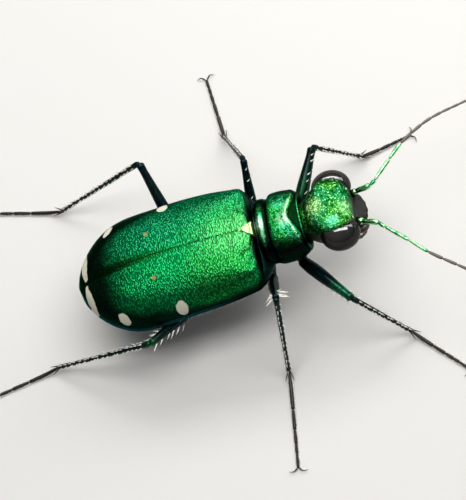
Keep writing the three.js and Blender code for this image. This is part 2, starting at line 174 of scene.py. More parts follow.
class Wire:
    """A socket of the node tree under work, on which sums can be written out."""

    tree = None

    def __init__(self, socket):
        self.socket = socket

    @classmethod
    def node(cls, kind, settings=None, inputs=None, out=0):
        made = cls.tree.nodes.new(kind)
        for key, value in (settings or {}).items():
            setattr(made, key, value)
        for key, value in (inputs or {}).items():
            if isinstance(value, cls):
                cls.tree.links.new(value.socket, made.inputs[key])
            else:
                made.inputs[key].default_value = value
        return cls(made.outputs[out]) if made.outputs else None

    def maths(self, operation, *others):
        inputs = {k: value for k, value in enumerate((self, *others))}
        return Wire.node("ShaderNodeMath", {"operation": operation}, inputs)

    def __add__(self, other):
        return self.maths("ADD", other)

    __radd__ = __add__

    def __sub__(self, other):
        return self.maths("SUBTRACT", other)

    def __rsub__(self, other):
        return Wire.node("ShaderNodeMath", {"operation": "SUBTRACT"}, {0: other, 1: self})

    def __mul__(self, other):
        return self.maths("MULTIPLY", other)

    __rmul__ = __mul__

    def __pow__(self, other):
        return self.maths("POWER", other)

    def rise(self, low, high):
        """0 below low and 1 above high, with a smooth step between."""
        settings = {"interpolation_type": "SMOOTHSTEP"}
        return Wire.node("ShaderNodeMapRange", settings, {0: self, 1: low, 2: high})


def blend(share, first, second):
    """A colour that goes from the first to the second as the share goes from 0 to 1."""
    inputs = {0: share, 6: first, 7: second}
    for key in (6, 7):
        if not isinstance(inputs[key], Wire):
            inputs[key] = (*inputs[key], 1.0)
    return Wire.node("ShaderNodeMix", {"data_type": "RGBA"}, inputs, 2)


def map_axes():
    """The two directions of a piece's own map."""
    uv = Wire.node("ShaderNodeUVMap", {"uv_map": "shell"})
    return [Wire.node("ShaderNodeSeparateXYZ", None, {0: uv}, k) for k in (0, 1)]


def object_place():
    return Wire.node("ShaderNodeTexCoord", out="Object")


def stretched(per_mm):
    """Object coordinates with so many pattern steps to a millimetre, one number or one per axis."""
    steps = per_mm if isinstance(per_mm, tuple) else (per_mm,) * 3
    inputs = {"Vector": object_place(), "Scale": [k / MM for k in steps]}
    return Wire.node("ShaderNodeMapping", None, inputs)


def noise(per_mm, detail=2.0, roughness=0.5):
    inputs = {"Vector": stretched(per_mm), "Scale": 1.0, "Detail": detail, "Roughness": roughness}
    return Wire.node("ShaderNodeTexNoise", None, inputs)


def grains(per_mm):
    inputs = {"Vector": stretched(per_mm), "Scale": 1.0}
    return Wire.node("ShaderNodeTexVoronoi", None, inputs)


def place_mm(axis):
    """How far a spot lies along one axis of the animal's own frame, in mm."""
    reach = Wire.node("ShaderNodeSeparateXYZ", None, {0: object_place()}, axis)
    return reach * (1 / MM) - float(ORIGIN[axis])


def finish(name, build):
    """A material of one shader, whose build returns the shader's sockets, height and depth."""
    material = bpy.data.materials.new(name)
    material.use_nodes = True
    Wire.tree = material.node_tree
    Wire.tree.nodes.clear()
    look = build()
    height, depth_mm = look.pop("height")
    bump = {"Strength": 1.0, "Distance": depth_mm * MM, "Height": height}
    look["Normal"] = Wire.node("ShaderNodeBump", None, bump)
    shader = Wire.node("ShaderNodeBsdfPrincipled", None, look)
    Wire.node("ShaderNodeOutputMaterial", None, {0: shader})
    return material


ELYTRA_LENGTH = 7.7
ELYTRA_HALF_WIDTH = 2.45
ELYTRA_CROWN = 1.38
SHOULDER = 0.06
TIP_START = 0.645
CROWN_PEAK = 0.35
SHOULDER_POWER = 2.9
DOME_POWER = 2.3
RIM_DIP = 0.3
SCUTELLUM_LENGTH = 0.55
SCUTELLUM_HALF_WIDTH = 0.34
SCUTELLUM_RISE = 0.02
SCUTELLUM_THICKNESS = 0.2
SEAM_HALF_GAP = 0.004
COVER_THICKNESS = 0.09
COVER_SPAN = (0.0015, 0.9985)
COVER_RINGS = 150
COVER_COLUMNS = 96
# Map units to a millimetre, and how much higher the left cover's spots lie on its map.
MAP_SHARE = 0.1
LEFT_RISE = 0.3


def round_off(t, power):
    return np.maximum(0.0, 1.0 - np.maximum(0.0, t) ** power)


def cover_half_width(s):
    flare = 1 - 0.15 * np.maximum(0, 1 - s / 0.5) ** 2.6
    shoulder = round_off(1 - s / SHOULDER, 3) ** (1 / 3)
    tip = round_off((s - TIP_START) / (1 - TIP_START), 2) ** 0.625
    return ELYTRA_HALF_WIDTH * flare * shoulder * tip


def cover_crown(s):
    front = 1 - 0.12 * np.maximum(0, 1 - s / CROWN_PEAK) ** 2
    edge = 0.62 + 0.38 * round_off(1 - s / SHOULDER, 3) ** (1 / 3)
    tip = round_off((s - CROWN_PEAK) / (1 - CROWN_PEAK), 2.4) ** 0.6
    return ELYTRA_CROWN * front * edge * tip


def rim_dip(s):
    return RIM_DIP * np.exp(-(((s - 0.72) / 0.26) ** 2))


def spread(count, start, end):
    return start + (end - start) * (1 - np.cos(np.pi * np.arange(count + 1) / count)) / 2


def bent(wave, power):
    """A sine or cosine raised to a power with its sign kept, for rings squarer than an ellipse."""
    return np.sign(wave) * np.abs(wave) ** power


def turns_of(count):
    return 2 * np.pi * np.arange(count) / count


def lengths(path):
    """The length of a path up to each of its points."""
    return np.concatenate([[0], np.cumsum(np.linalg.norm(np.diff(path, axis=0), axis=1))])


def cover_power(s):
    """How square the wing covers' cross-section is, squarest at the shoulder."""
    return SHOULDER_POWER + (DOME_POWER - SHOULDER_POWER) * min(1, s / 0.4)


def bump_at(x, middle, width):
    return np.exp(-(((x - middle) / width) ** 2))


def ramp(x, low, high):
    t = np.clip((x - low) / (high - low), 0, 1)
    return t * t * (3 - 2 * t)


def cover_grid(stations, columns):
    """Points of one wing cover from its side margin up to the seam, and how far along and up."""
    bends = np.linspace(0, np.pi / 2, 600)
    share = np.linspace(0, 1, columns)
    share = share - 0.78 * np.sin(2 * np.pi * share) / (2 * np.pi)
    points = np.zeros((len(stations), columns, 3))
    ups = np.zeros((len(stations), columns))
    for i, s in enumerate(stations):
        power = cover_power(s)
        y = cover_half_width(s) * np.cos(bends) ** (2 / power)
        z = -rim_dip(s) + (cover_crown(s) + rim_dip(s)) * np.sin(bends) ** (2 / power)
        along = ELYTRA_LENGTH * s
        notch = (SCUTELLUM_HALF_WIDTH + 0.02) * (1 - along / (SCUTELLUM_LENGTH + 0.03))
        inner = max(SEAM_HALF_GAP, notch)
        length = np.concatenate([[0], np.cumsum(np.hypot(np.diff(y), np.diff(z)))])
        end = np.interp(-inner, -y, length)
        up = end * share
        points[i, :, 0] = -along
        points[i, :, 1] = np.interp(up, length, y)
        points[i, :, 2] = np.interp(up, length, z)
        ups[i] = up
    return points, ups


def grid_normals(points):
    along = np.gradient(points, axis=0)
    across = np.gradient(points, axis=1)
    normal = np.cross(across, along)
    size = np.linalg.norm(normal, axis=2, keepdims=True)
    return normal / np.maximum(size, 1e-9)


def cover_relief(along, up, y):
    """How far the face of a wing cover stands proud of its plain dome."""
    rear = ramp(along, 3.2, 7.0)
    seam = -(0.012 + 0.078 * rear) * np.exp(-((y / (0.07 + 0.22 * rear)) ** 2))
    bead = 0.022 * bump_at(y, 0.03, 0.03)
    margin = 0.05 * bump_at(up, 0.03, 0.045) - 0.035 * bump_at(up, 0.15, 0.06)
    knob = 0.11 * bump_at(along, 0.42, 0.3) * bump_at(up, 1.1, 0.32)
    hollow = -0.12 * bump_at(along, 0.42, 0.35) * bump_at(up, 1.75, 0.3)
    dent = -0.05 * bump_at(along, 1.1, 0.5) * bump_at(y, 0.75, 0.35)
    waves = 0.008 * np.sin(along * 3.1 + 2 * np.sin(up * 1.7)) * np.sin(up * 2.6 + along)
    inland = ramp(up, 0.1, 0.6) * ramp(y, 0.05, 0.4)
    return seam + bead + margin + knob + hollow + dent + waves * inland


def cover_shell(side):
    stations = spread(COVER_RINGS, *COVER_SPAN)
    points, ups = cover_grid(stations, COVER_COLUMNS)
    normal = grid_normals(points)
    normal *= np.sign(normal[COVER_RINGS // 2, COVER_COLUMNS // 2, 2])
    along = -points[..., 0]
    fade = ramp(stations, 0.0, 0.02)[:, None] * ramp(1 - stations, 0.0, 0.03)[:, None]
    lift = cover_relief(along, ups, points[..., 1]) * fade
    top = points + normal * lift[..., None]
    wall = COVER_THICKNESS * np.minimum(1, 0.1 + 0.9 * ramp(stations, 0, 0.04) * ramp(1 - stations, 0, 0.06))
    under = points - normal * wall[:, None, None]
    raised = LEFT_RISE * (side > 0) * (1 - ramp(ups, 0.9, 2.2))
    uv = np.stack([along * MAP_SHARE, (ups - raised) * MAP_SHARE], axis=2)
    flip = np.array([1, side, 1])
    return plate(top * flip, under * flip, uv)


# Colours run from golden green at the front of the seam through blue green. The brighter front by the seam
# is partly a painted highlight. A darker patch on the front of the right cover, and the near black of the
# margins, the rear and the front edge, are painted shade. A teal line on the margin bead is a painted
# highlight. The ivory spots and two orange dots are read off the map.
GOLD_GREEN_HIGHLIGHT = (0.042, 0.42, 0.06)
LEAF_GREEN = (0.002, 0.35, 0.085)
SEA_GREEN = (0.004, 0.27, 0.1)
# Deep green for the dark net of the grain, and for painted shade toward the rear.
GRAIN_AND_SHADE_GREEN = (0.001, 0.05, 0.014)
# Near black for painted shade.
SHADE_GREEN = (0.003, 0.0075, 0.006)
FLECK_GREEN = (0.08, 0.62, 0.23)
GREEN_TINT = (0.35, 0.5, 0.45, 1.0)
IVORY = (0.6, 0.58, 0.46)
ORANGE = (0.42, 0.2, 0.07)
# Each spot: distance behind the front, height above the margin, and half its length and height.
SPOTS = ((3.54, 0.68, 0.24, 0.36), (5.98, 0.72, 0.22, 0.3))
LUNULE = (7.22, 0.55, 0.17, 0.75)
DOT = (4.3, 2.28, 0.09, 0.09)


def spot_mask(along, up, spot, wobble, edge=0.14):
    """1 inside an oval on the map and 0 outside it, with an uneven outline."""
    x, y, length, height = spot
    far = ((along - x) * (1 / length)) ** 2 + ((up - y) * (1 / height)) ** 2
    return 1 - (far + wobble).rise(1 - edge, 1 + edge)


def cover_look():
    u, v = map_axes()
    along, up = u * (1 / MAP_SHARE), v * (1 / MAP_SHARE)
    across = place_mm(1)
    patches = noise(0.9, 2.0)
    front = 1 - (along + patches * 1.6).rise(0.2, 4.6)
    inner = (up + patches * 0.8).rise(0.7, 3.2)
    rear = (along + patches * 0.6).rise(5.2, 6.9)
    rear_shade = (along + patches * 0.5).rise(6.05, 6.9)
    # Painted shade: the margins go near black, reaching higher up the side toward the rear and most on the
    # left cover.
    shore = along.rise(2.0, 5.5) * 0.55 + across.rise(0.0, 0.3) * along.rise(3.6, 5.6) * 0.4
    low = 1 - (up - shore + patches * 0.3).rise(0.4, 1.0)
    # Painted shade: a darker yellow green over the front of the right cover.
    front_right_shade = along.rise(0.0, 1.0) * (1 - along.rise(2.2, 3.6)) * (1 - across.rise(-1.0, 0.0))
    colour = blend(across.rise(-0.6, 1.0), LEAF_GREEN, SEA_GREEN)
    colour = blend(front_right_shade * 0.75, colour, (0.008, 0.24, 0.015))
    # Painted highlight: golden green at the front by the seam, partly the cover's own colour.
    colour = blend(front * inner, colour, GOLD_GREEN_HIGHLIGHT)
    # Painted highlight: paler green at the front of the seam.
    middle = (1 - along.rise(0.6, 2.8)) * (1 - across.maths("ABSOLUTE").rise(0.2, 1.0))
    colour = blend(middle * 0.8, colour, (0.13, 0.68, 0.18))
    cell = grains((17.0, 9.5, 9.5))
    coarse = noise((5.0, 3.5, 3.5), 2.0)
    fleck = (1 - cell.rise(0.05, 0.42)) * (coarse.rise(0.25, 0.6) * 0.6 + 0.4)
    colour = blend(cell.rise(0.25, 0.65) * 0.75, colour, GRAIN_AND_SHADE_GREEN)
    colour = blend(fleck * 0.75, colour, FLECK_GREEN)
    # Painted shade: deep green over the rear, near black toward the tip.
    colour = blend(rear * 0.8, colour, GRAIN_AND_SHADE_GREEN)
    colour = blend(rear_shade * 0.93, colour, SHADE_GREEN)
    colour = blend(low * 0.97, colour, SHADE_GREEN)
    # Painted shade: near black along the front edge, under the prothorax.
    edge = (along + patches * 0.25).rise(0.18, 0.4)
    colour = blend(edge, SHADE_GREEN, colour)
    seam_side = across.maths("ABSOLUTE") + coarse * 0.06
    band = along * 0.026 + 0.03
    seam = 1 - (seam_side - band).rise(0.0, 0.09)
    seam_green = blend(along.rise(3.5, 6.2), (0.004, 0.13, 0.008), (0.001, 0.014, 0.003))
    colour = blend(seam * along.rise(2.2, 5.2) * 0.9, colour, seam_green)
    # Painted highlight: a teal line along the margin bead.
    bead = (1 - up.rise(0.09, 0.15)) * along.rise(1.0, 3.0)
    colour = blend(bead * 0.85, colour, (0.01, 0.09, 0.11))
    wobble = (noise(4.0) - 0.5) * 0.9
    spots = spot_mask(along, up, LUNULE, wobble)
    for spot in SPOTS:
        spots = spots.maths("MAXIMUM", spot_mask(along, up, spot, wobble))
    dot = spot_mask(along, up, DOT, wobble, 0.6) * 0.75
    ivory = blend(noise(9.0), IVORY, tuple(0.86 * k for k in IVORY))
    colour = blend(dot, colour, ORANGE)
    colour = blend(spots, colour, ivory)
    smooth = spots.maths("MAXIMUM", dot)
    height = (1 - cell) * (1 - smooth * 0.8)
    return {
        "Base Color": colour,
        "Metallic": 1 - smooth,
        "Roughness": 0.36 + smooth * 0.2 + patches * 0.08,
        "Specular Tint": GREEN_TINT,
        "height": (height, 0.018),
    }


HANDS = ((1, "left"), (-1, "right"))
cover_green = finish("wing_cover_green", cover_look)
for side, hand in HANDS:
    name = "elytron_" + hand
    piece(name + "_shell", [cover_shell(side)], TRUNK, cover_green, [name])


# Scutellum
# The small hard triangle between the front corners of the wing covers, metallic green painted pale and
# golden, partly its own colour and partly a painted highlight, slightly domed and set a little above them.
def scutellum_shell():
    rows, columns = 26, 25
    top = np.zeros((rows, columns, 3))
    for i in range(rows):
        t = i / (rows - 1)
        along = -0.02 + (SCUTELLUM_LENGTH + 0.02) * t
        half = max(0.004, SCUTELLUM_HALF_WIDTH * (1 - t) ** 0.9)
        y = np.linspace(-half, half, columns)
        s = max(along, 0.012 * ELYTRA_LENGTH) / ELYTRA_LENGTH
        power = cover_power(s)
        lift = (1 - np.abs(y / cover_half_width(s)) ** power) ** (1 / power)
        face = -rim_dip(s) + (cover_crown(s) + rim_dip(s)) * lift
        dome = 0.05 * np.sqrt(np.maximum(0, 1 - (y / half) ** 2)) * ramp(1 - t, 0, 0.4)
        drop = 0.16 * ramp(0.12 - t, 0, 0.12) ** 2
        top[i] = np.stack([np.full(columns, -along), y, face + SCUTELLUM_RISE + dome - drop], axis=1)
    uv = np.stack([-top[..., 0] * MAP_SHARE, 0.5 + top[..., 1] * MAP_SHARE], axis=2)
    return plate(top, top - (0, 0, SCUTELLUM_THICKNESS), uv)


PALE_GREEN_HIGHLIGHT = (0.3, 0.6, 0.22)


def scutellum_look():
    patches = noise(6.0, 3.0)
    cell = grains((18.0, 14.0, 14.0))
    return {
        # Pale and golden tones: partly a painted highlight.
        "Base Color": blend(patches.rise(0.35, 0.65), PALE_GREEN_HIGHLIGHT, (0.62, 0.72, 0.32)),
        "Metallic": 0.9,
        "Roughness": 0.3 + patches * 0.15,
        "height": (cell + patches * 0.5, 0.008),
    }


scutellum_green = finish("scutellum_green", scutellum_look)
piece("scutellum_plate", [scutellum_shell()], TRUNK, scutellum_green, ["scutellum"])


# Prothorax
# A barrel between head and wing covers: a raised lobe and a deep groove across its rear, a sunken collar
# across its front, a fine line down the middle of the back, and cheeks painted dark as shade.
PROTHORAX = frame_of((0.1, 0.0, 3.66), 0.0, 7.0)
PRONOTUM_LENGTH = 1.9
PRONOTUM_HALF_WIDTH = 1.47
PRONOTUM_TOP = 1.04
PRONOTUM_BOTTOM = 1.12
RING_POINTS = 180
RINGS = 170
# Places along the prothorax and depths: the rear groove, the front collar, which bends forward
# toward the sides, the lobe behind the groove and the line down the middle.
GROOVE_AT = 0.52
GROOVE_DEPTH = 0.12
COLLAR_AT = 1.42
COLLAR_BEND = 0.36
COLLAR_DEPTH = 0.085
LOBE_AT = 0.21
LOBE_RISE = 0.05
MIDLINE_DEPTH = 0.022


def superellipse(half_width, top, bottom, power, count):
    """A ring across the body from its left side over the top, with both radii of its height."""
    angles = turns_of(count)
    c, s = np.cos(angles), np.sin(angles)
    y = half_width * bent(c, 2 / power)
    z = np.where(s > 0, top, bottom) * bent(s, 2 / power)
    return np.stack([y, z], axis=1), angles


def prothorax_shell():
    inside = [(0.3, 0.55), (0.12, 0.72), (0.02, 0.86)]
    stations = inside + [(x, 1.0) for x in np.linspace(0.0, PRONOTUM_LENGTH, RINGS)]
    stations += [(PRONOTUM_LENGTH - x, part) for x, part in reversed(inside)]
    rings, hollows = [], []
    for x, part in stations:
        bulge = 1 - 0.2 * abs((x - 0.98) / 0.95) ** 2.6
        ring, angles = superellipse(
            PRONOTUM_HALF_WIDTH * bulge, PRONOTUM_TOP * bulge, PRONOTUM_BOTTOM * bulge, 2.15,
            RING_POINTS
        )
        back = ramp(np.sin(angles), -0.15, 0.35)
        y = ring[:, 0]
        front_line = COLLAR_AT + COLLAR_BEND * np.minimum(1, np.abs(y) / 0.85) ** 1.1
        groove = bump_at(x, GROOVE_AT + 0.04 * y, 0.12) * np.ones(RING_POINTS)
        past = ramp(x, front_line - 0.02, front_line + 0.07) * ramp(PRONOTUM_LENGTH - x, 0.03, 0.08)
        deep = 0.3 + 0.7 * back
        size = np.full(RING_POINTS, part)
        size -= deep * (GROOVE_DEPTH * groove + COLLAR_DEPTH * past)
        size += 0.03 * back * bump_at(x, front_line - 0.14, 0.1)
        size += LOBE_RISE * back * bump_at(x, LOBE_AT, 0.12)
        size -= 0.05 * bump_at(x, 0.06, 0.04) * deep - 0.01
        size += 0.02 * back * bump_at(x, 0.95, 0.4) * bump_at(np.abs(y), 0.55, 0.4)
        ends = ramp(x, 0.6, 0.75) * ramp(front_line - x, 0.05, 0.2)
        size -= MIDLINE_DEPTH * back * bump_at(y, 0, 0.035) * ends
        size -= 0.014 * bump_at(np.sin(angles), -0.02, 0.05) * (part == 1.0)
        rings.append(np.column_stack([np.full(RING_POINTS, x), ring * size[:, None]]))
        # The hollow attribute: groove depth, which the material turns into painted shade, and below zero
        # along the front fold for a painted highlight.
        fold = bump_at(x, front_line - 0.08, 0.03) * (np.sin(angles) > 0) * (np.abs(y) < 1.1)
        hollows.append(np.maximum(groove, 0.85 * past) - 0.5 * fold)
    along = [0.5 + k[0] * MAP_SHARE for k in stations]
    return loft(rings, along), np.concatenate([np.ravel(hollows), [0.0, 0.0]])


# The back is bright green with golden and blue grains. Painted highlights brighten spots on the crest and
# lobe and a line along the front fold. Painted shade darkens the grooves and turns the cheeks near black
# below the middle.
EMERALD = (0.006, 0.26, 0.03)
SEA_MINT = (0.02, 0.36, 0.15)
PALE_MINT = (0.3, 0.85, 0.5)
HIGHLIGHT_MINT = (0.62, 1.0, 0.72)
FOLD_HIGHLIGHT = (0.62, 1.0, 0.45)
# Painted highlights on the back: where, how far they reach, and their share.
CREST_HIGHLIGHTS = (
    (moved((1.3, -0.1, 1.02), PROTHORAX), 0.42, 0.35),
    (moved((1.42, 0.5, 1.0), PROTHORAX), 0.3, 0.1),
    (moved((0.21, 0.02, 0.92), PROTHORAX), 0.42, 1.0),
    (moved((0.25, -0.45, 0.86), PROTHORAX), 0.4, 0.18),
)


def flecked(deep, middle, light, per_mm, share):
    """Metallic colour broken up by a net of wrinkles and bright flecks, with its height."""
    cell = grains(per_mm)
    small = noise(per_mm * 0.55, 3.0, 0.65)
    bright = (1 - cell.rise(0.1, 0.5)) * small.rise(0.46, 0.57)
    colour = blend(small.rise(0.36, 0.5), deep, middle)
    return blend(bright * share, colour, light), small * 1.1 + (1 - cell) * 0.6


def distance_mm(spot):
    """How far a spot of the animal's own frame is, in mm."""
    centre = tuple((np.array(spot) + ORIGIN) * MM)
    inputs = {0: object_place(), 1: centre}
    far = Wire.node("ShaderNodeVectorMath", {"operation": "DISTANCE"}, inputs, "Value")
    return far * (1 / MM)


def near_to(spot, inner, outer):
    """1 within the inner distance in mm of a spot and 0 beyond the outer one."""
    return 1 - distance_mm(spot).rise(inner, outer)


def wrinkled(low, high, tilt, per_mm, highlights=()):
    """Bright wrinkled metallic green with painted highlights and painted shade, painted near black as shade
    below a height in the animal's frame.
    """

    def look():
        patches = noise(1.3, 2.0)
        middle = blend(patches.rise(0.4, 0.62), EMERALD, SEA_MINT)
        colour, height = flecked((0.001, 0.05, 0.008), middle, PALE_MINT, per_mm, 0.6)
        hollow = Wire.node("ShaderNodeAttribute", {"attribute_name": "hollow"}, None, 2)
        # Painted highlights at the given spots.
        for spot, reach, share in highlights:
            colour = blend(near_to(spot, 0.05, reach) * share, colour, HIGHLIGHT_MINT)
        # Painted highlight along the front fold.
        colour = blend((0 - hollow).rise(0.1, 0.4) * height.rise(0.7, 1.1), colour, FOLD_HIGHLIGHT)
        # Painted shade in the grooves.
        colour = blend(hollow.rise(0.15, 0.7) * 0.985, colour, (0.0004, 0.01, 0.001))
        # Painted shade: near black below a height.
        colour = blend((place_mm(2) + patches * tilt).rise(low, high), SHADE_GREEN, colour)
        return {
            "Base Color": colour,
            "Metallic": 1.0,
            "Roughness": 0.25 + patches * 0.12,
            "Specular Tint": GREEN_TINT,
            "height": (height, 0.022),
        }

    return look


fore_green = finish("foreparts_green", wrinkled(4.52, 4.96, 0.3, 14.0, CREST_HIGHLIGHTS))
shell, hollow = prothorax_shell()
piece("pronotum_shield", [shell], PROTHORAX, fore_green, ["pronotum"],
      hollow=hollow)


# Head
# One hard capsule on a short neck: plates roof the inner half of each eye, the brow between
# them is finely ridged, and the front falls to a dark brown lip shield.
def curve(stations, sizes):
    """A smooth curve through sizes given at stations."""
    stations, sizes = np.array(stations, float), np.array(sizes, float)
    slopes = np.gradient(sizes, stations)

    def at(x):
        x = min(max(x, stations[0]), stations[-1])
        k = min(max(int(np.searchsorted(stations, x)) - 1, 0), len(stations) - 2)
        gap = stations[k + 1] - stations[k]
        t = (x - stations[k]) / gap
        near = (1 + 2 * t) * (1 - t) ** 2 * sizes[k] + t * (1 - t) ** 2 * gap * slopes[k]
        return near + t * t * (3 - 2 * t) * sizes[k + 1] + t * t * (t - 1) * gap * slopes[k + 1]

    return at


def spline(points, samples=24):
    """Points along a smooth path through the given ones, with no loops at sharp turns."""
    points = [np.array(p, float) for p in points]
    points = [2 * points[0] - points[1], *points, 2 * points[-1] - points[-2]]
    path = []
    for a, b, c, d in zip(points, points[1:], points[2:], points[3:]):
        knots = [0.0]
        for first, second in ((a, b), (b, c), (c, d)):
            knots.append(knots[-1] + max(np.linalg.norm(second - first), 1e-6) ** 0.5)
        ka, kb, kc, kd = knots
        for t in np.linspace(kb, kc, samples, endpoint=False):
            ab = ((kb - t) * a + (t - ka) * b) / (kb - ka)
            bc = ((kc - t) * b + (t - kb) * c) / (kc - kb)
            cd = ((kd - t) * c + (t - kc) * d) / (kd - kc)
            left = ((kc - t) * ab + (t - ka) * bc) / (kc - ka)
            right = ((kd - t) * bc + (t - kb) * cd) / (kd - kb)
            path.append(((kc - t) * left + (t - kb) * right) / (kc - kb))
    path.append(points[-2])
    return np.array(path)


def even(path, count):
    """The same path by points at even distances."""
    length = lengths(path)
    wanted = np.linspace(0, length[-1], count)
    return np.stack([np.interp(wanted, length, path[:, k]) for k in range(path.shape[1])], axis=1)


HEAD_LENGTH = 2.0
HEAD_STATIONS = (-0.4, -0.1, 0.15, 0.4, 0.65, 0.95, 1.25, 1.5, 1.7, 1.86, 1.96, 2.02)
HEAD_MIDDLE = (0.5, 0.62, 0.74, 0.81, 0.84, 0.83, 0.8, 0.75, 0.69, 0.6, 0.47, 0.2)
PLATE_HALF_WIDTH = (0.42, 0.54, 0.66, 0.8, 0.96, 1.09, 1.09, 1.04, 0.96, 0.84, 0.73, 0.64)
PLATE_HEIGHT = (0.3, 0.4, 0.52, 0.7, 0.87, 0.96, 0.98, 0.95, 0.88, 0.72, 0.52, 0.22)
TEMPLE_HALF_WIDTH = (0.5, 0.7, 0.84, 1.0, 1.1, 1.14, 1.12, 1.04, 0.94, 0.84, 0.74, 0.68)
THROAT_DEPTH = (0.45, 0.66, 0.84, 0.92, 0.98, 1.02, 1.04, 1.02, 0.98, 0.9, 0.72, 0.5)
PLATE_POWER = 2.3
HEAD_RINGS = 130
TOP_POINTS = 60
SIDE_POINTS = 46
HEAD_CURVES = [curve(HEAD_STATIONS, sizes) for sizes in
               (HEAD_MIDDLE, PLATE_HALF_WIDTH, PLATE_HEIGHT, TEMPLE_HALF_WIDTH, THROAT_DEPTH)]


def head_shell():
    rings, along = [], []
    closing = [(2.035, 0.9), (2.045, 0.7), (2.05, 0.4)]
    stations = [(x, 1.0) for x in np.linspace(HEAD_STATIONS[0], HEAD_STATIONS[-1], HEAD_RINGS)] + closing
    for x, part in stations:
        zc, half, up, side, deep = (at(x) for at in HEAD_CURVES)
        socket = float(ramp(x, 0.42, 0.72) * ramp(1.98 - x, 0, 0.12))
        y = np.linspace(0, half, TOP_POINTS)
        share = y / half
        top = zc + (up - zc) * share**PLATE_POWER
        brow = float(ramp(x, 0.55, 0.8) * ramp(1.85 - x, 0, 0.3))
        ridges = ramp(y, 0.42, 0.55) * ramp(half - y, 0.03, 0.1)
        top -= 0.002 * brow * ridges * (1 + np.cos(2 * np.pi * y / 0.105))
        top += 0.02 * brow * bump_at(y, half - 0.03, 0.04)
        top -= 0.03 * bump_at(x, 1.94, 0.03)
        top -= 0.03 * bump_at(x, 0.05, 0.1)
        plain = np.array([(half, up), ((half + side) / 2 + 0.04, up * 0.6), (side, 0.02),
                          (side * 0.95, -0.4 * deep), (side * 0.82, -0.72 * deep),
                          (side * 0.5, -0.94 * deep), (0, -deep)])
        hollow = np.array([(half, up), (half + 0.01, up - 0.06), (0.66, 0.3),
                           (0.66, -0.15), (side * 0.84, -0.66 * deep),
                           (side * 0.52, -0.92 * deep), (0, -deep)])
        flank = even(spline(plain * (1 - socket) + hollow * socket, 12), SIDE_POINTS)
        left = np.concatenate([np.stack([y, top], axis=1)[:-1], flank])
        right = left[-2:0:-1] * (-1, 1)
        ring = np.concatenate([left, right]) * part
        rings.append(np.column_stack([np.full(len(ring), x), ring]))
        along.append(0.5 + x * MAP_SHARE)
    return loft(rings, along)


BROWN_BLACK = (0.012, 0.01, 0.007)
PIT_GLINT = (0.75, 0.72, 0.6)
# Head-frame places of the two pits at the front of the brow, each painted with a pale glint.
PITS = ((1.92, 0.66, 0.6), (1.95, -0.56, 0.52))
PIT_RADIUS = 0.06


def head_look():
    patches = noise(1.4, 2.0)
    middle = blend(patches.rise(0.38, 0.62), (0.004, 0.13, 0.03), (0.014, 0.15, 0.01))
    light = blend(patches.rise(0.4, 0.6), (0.3, 0.95, 0.5), (0.46, 0.95, 0.28))
    colour, height = flecked((0.001, 0.035, 0.004), middle, light, 15.0, 0.95)
    rough = height.rise(0.7, 1.15)
    axis = moved(((1.0, 0.0, 0.0),), frame_of((0, 0, 0), HEAD_YAW))[0]
    inputs = {0: object_place(), 1: tuple(axis / MM)}
    ahead = Wire.node("ShaderNodeVectorMath", {"operation": "DOT_PRODUCT"}, inputs, "Value")
    neck = float(np.dot(axis, moved((0, 0, 0), HEAD) + ORIGIN))
    corner = (place_mm(1).maths("ABSOLUTE") * (1 / 0.72)) ** 3.0
    front = (ahead + patches * 0.06 + corner * 0.16).rise(neck + 2.05, neck + 2.1)
    # Painted shade: below a height the sides go brown black, like the front.
    low = 1 - (place_mm(2) + patches * 0.2).rise(4.2, 4.6)
    front = front.maths("MAXIMUM", low)
    # Painted highlights: a bright patch on the back of the head, one on the front of the brow and one by the
    # right eye.
    top_highlight = near_to(moved((0.5, 0.14, 0.8), HEAD), 0.1, 0.5)
    colour = blend(top_highlight * (rough * 0.65 + 0.08), colour, (0.6, 1.0, 0.36))
    brow = near_to(moved((1.85, -0.1, 0.6), HEAD), 0.15, 0.6) * patches.rise(0.3, 0.6)
    colour = blend(brow * (rough * 0.8 + 0.15), colour, (0.38, 0.95, 0.34))
    inner = near_to(moved((1.15, -0.66, 0.8), HEAD), 0.1, 0.4)
    colour = blend(inner * (rough * 0.7 + 0.2), colour, (0.2, 0.95, 0.5))
    # Painted shade: the right cheek behind the eye goes near black.
    cheek_shade = (1 - place_mm(1).rise(-1.05, -0.5)) * (1 - (ahead - neck).rise(0.4, 0.95))
    colour = blend(cheek_shade * 0.85, colour, (0.002, 0.03, 0.003))
    colour = blend(front, colour, BROWN_BLACK)
    # Painted glints on the two pits at the front of the brow.
    for pit in PITS:
        near = near_to(moved(pit, HEAD), PIT_RADIUS * 0.6, PIT_RADIUS)
        colour = blend(near, colour, PIT_GLINT)
        front = front.maths("MAXIMUM", near)
    return {
        "Base Color": colour,
        "Metallic": 1 - front,
        "Roughness": 0.3 + patches * 0.12 + front * 0.15,
        "Specular Tint": GREEN_TINT,
        "height": (height, 0.018),
    }


head_green = finish("head_green", head_look)
piece("head_capsule", [head_shell()], HEAD, head_green, ["head"])


# Eyes
# Two large bulging domes under the plates of the head, glossy dark brown, with a fine net of
# facets all over.
EYE_MIDDLE = (1.3, 1.02, 0.25)
EYE_RADII = (0.81, 0.69, 0.74)
EYE_SIDES = 72
ROOF_GAP = 0.05


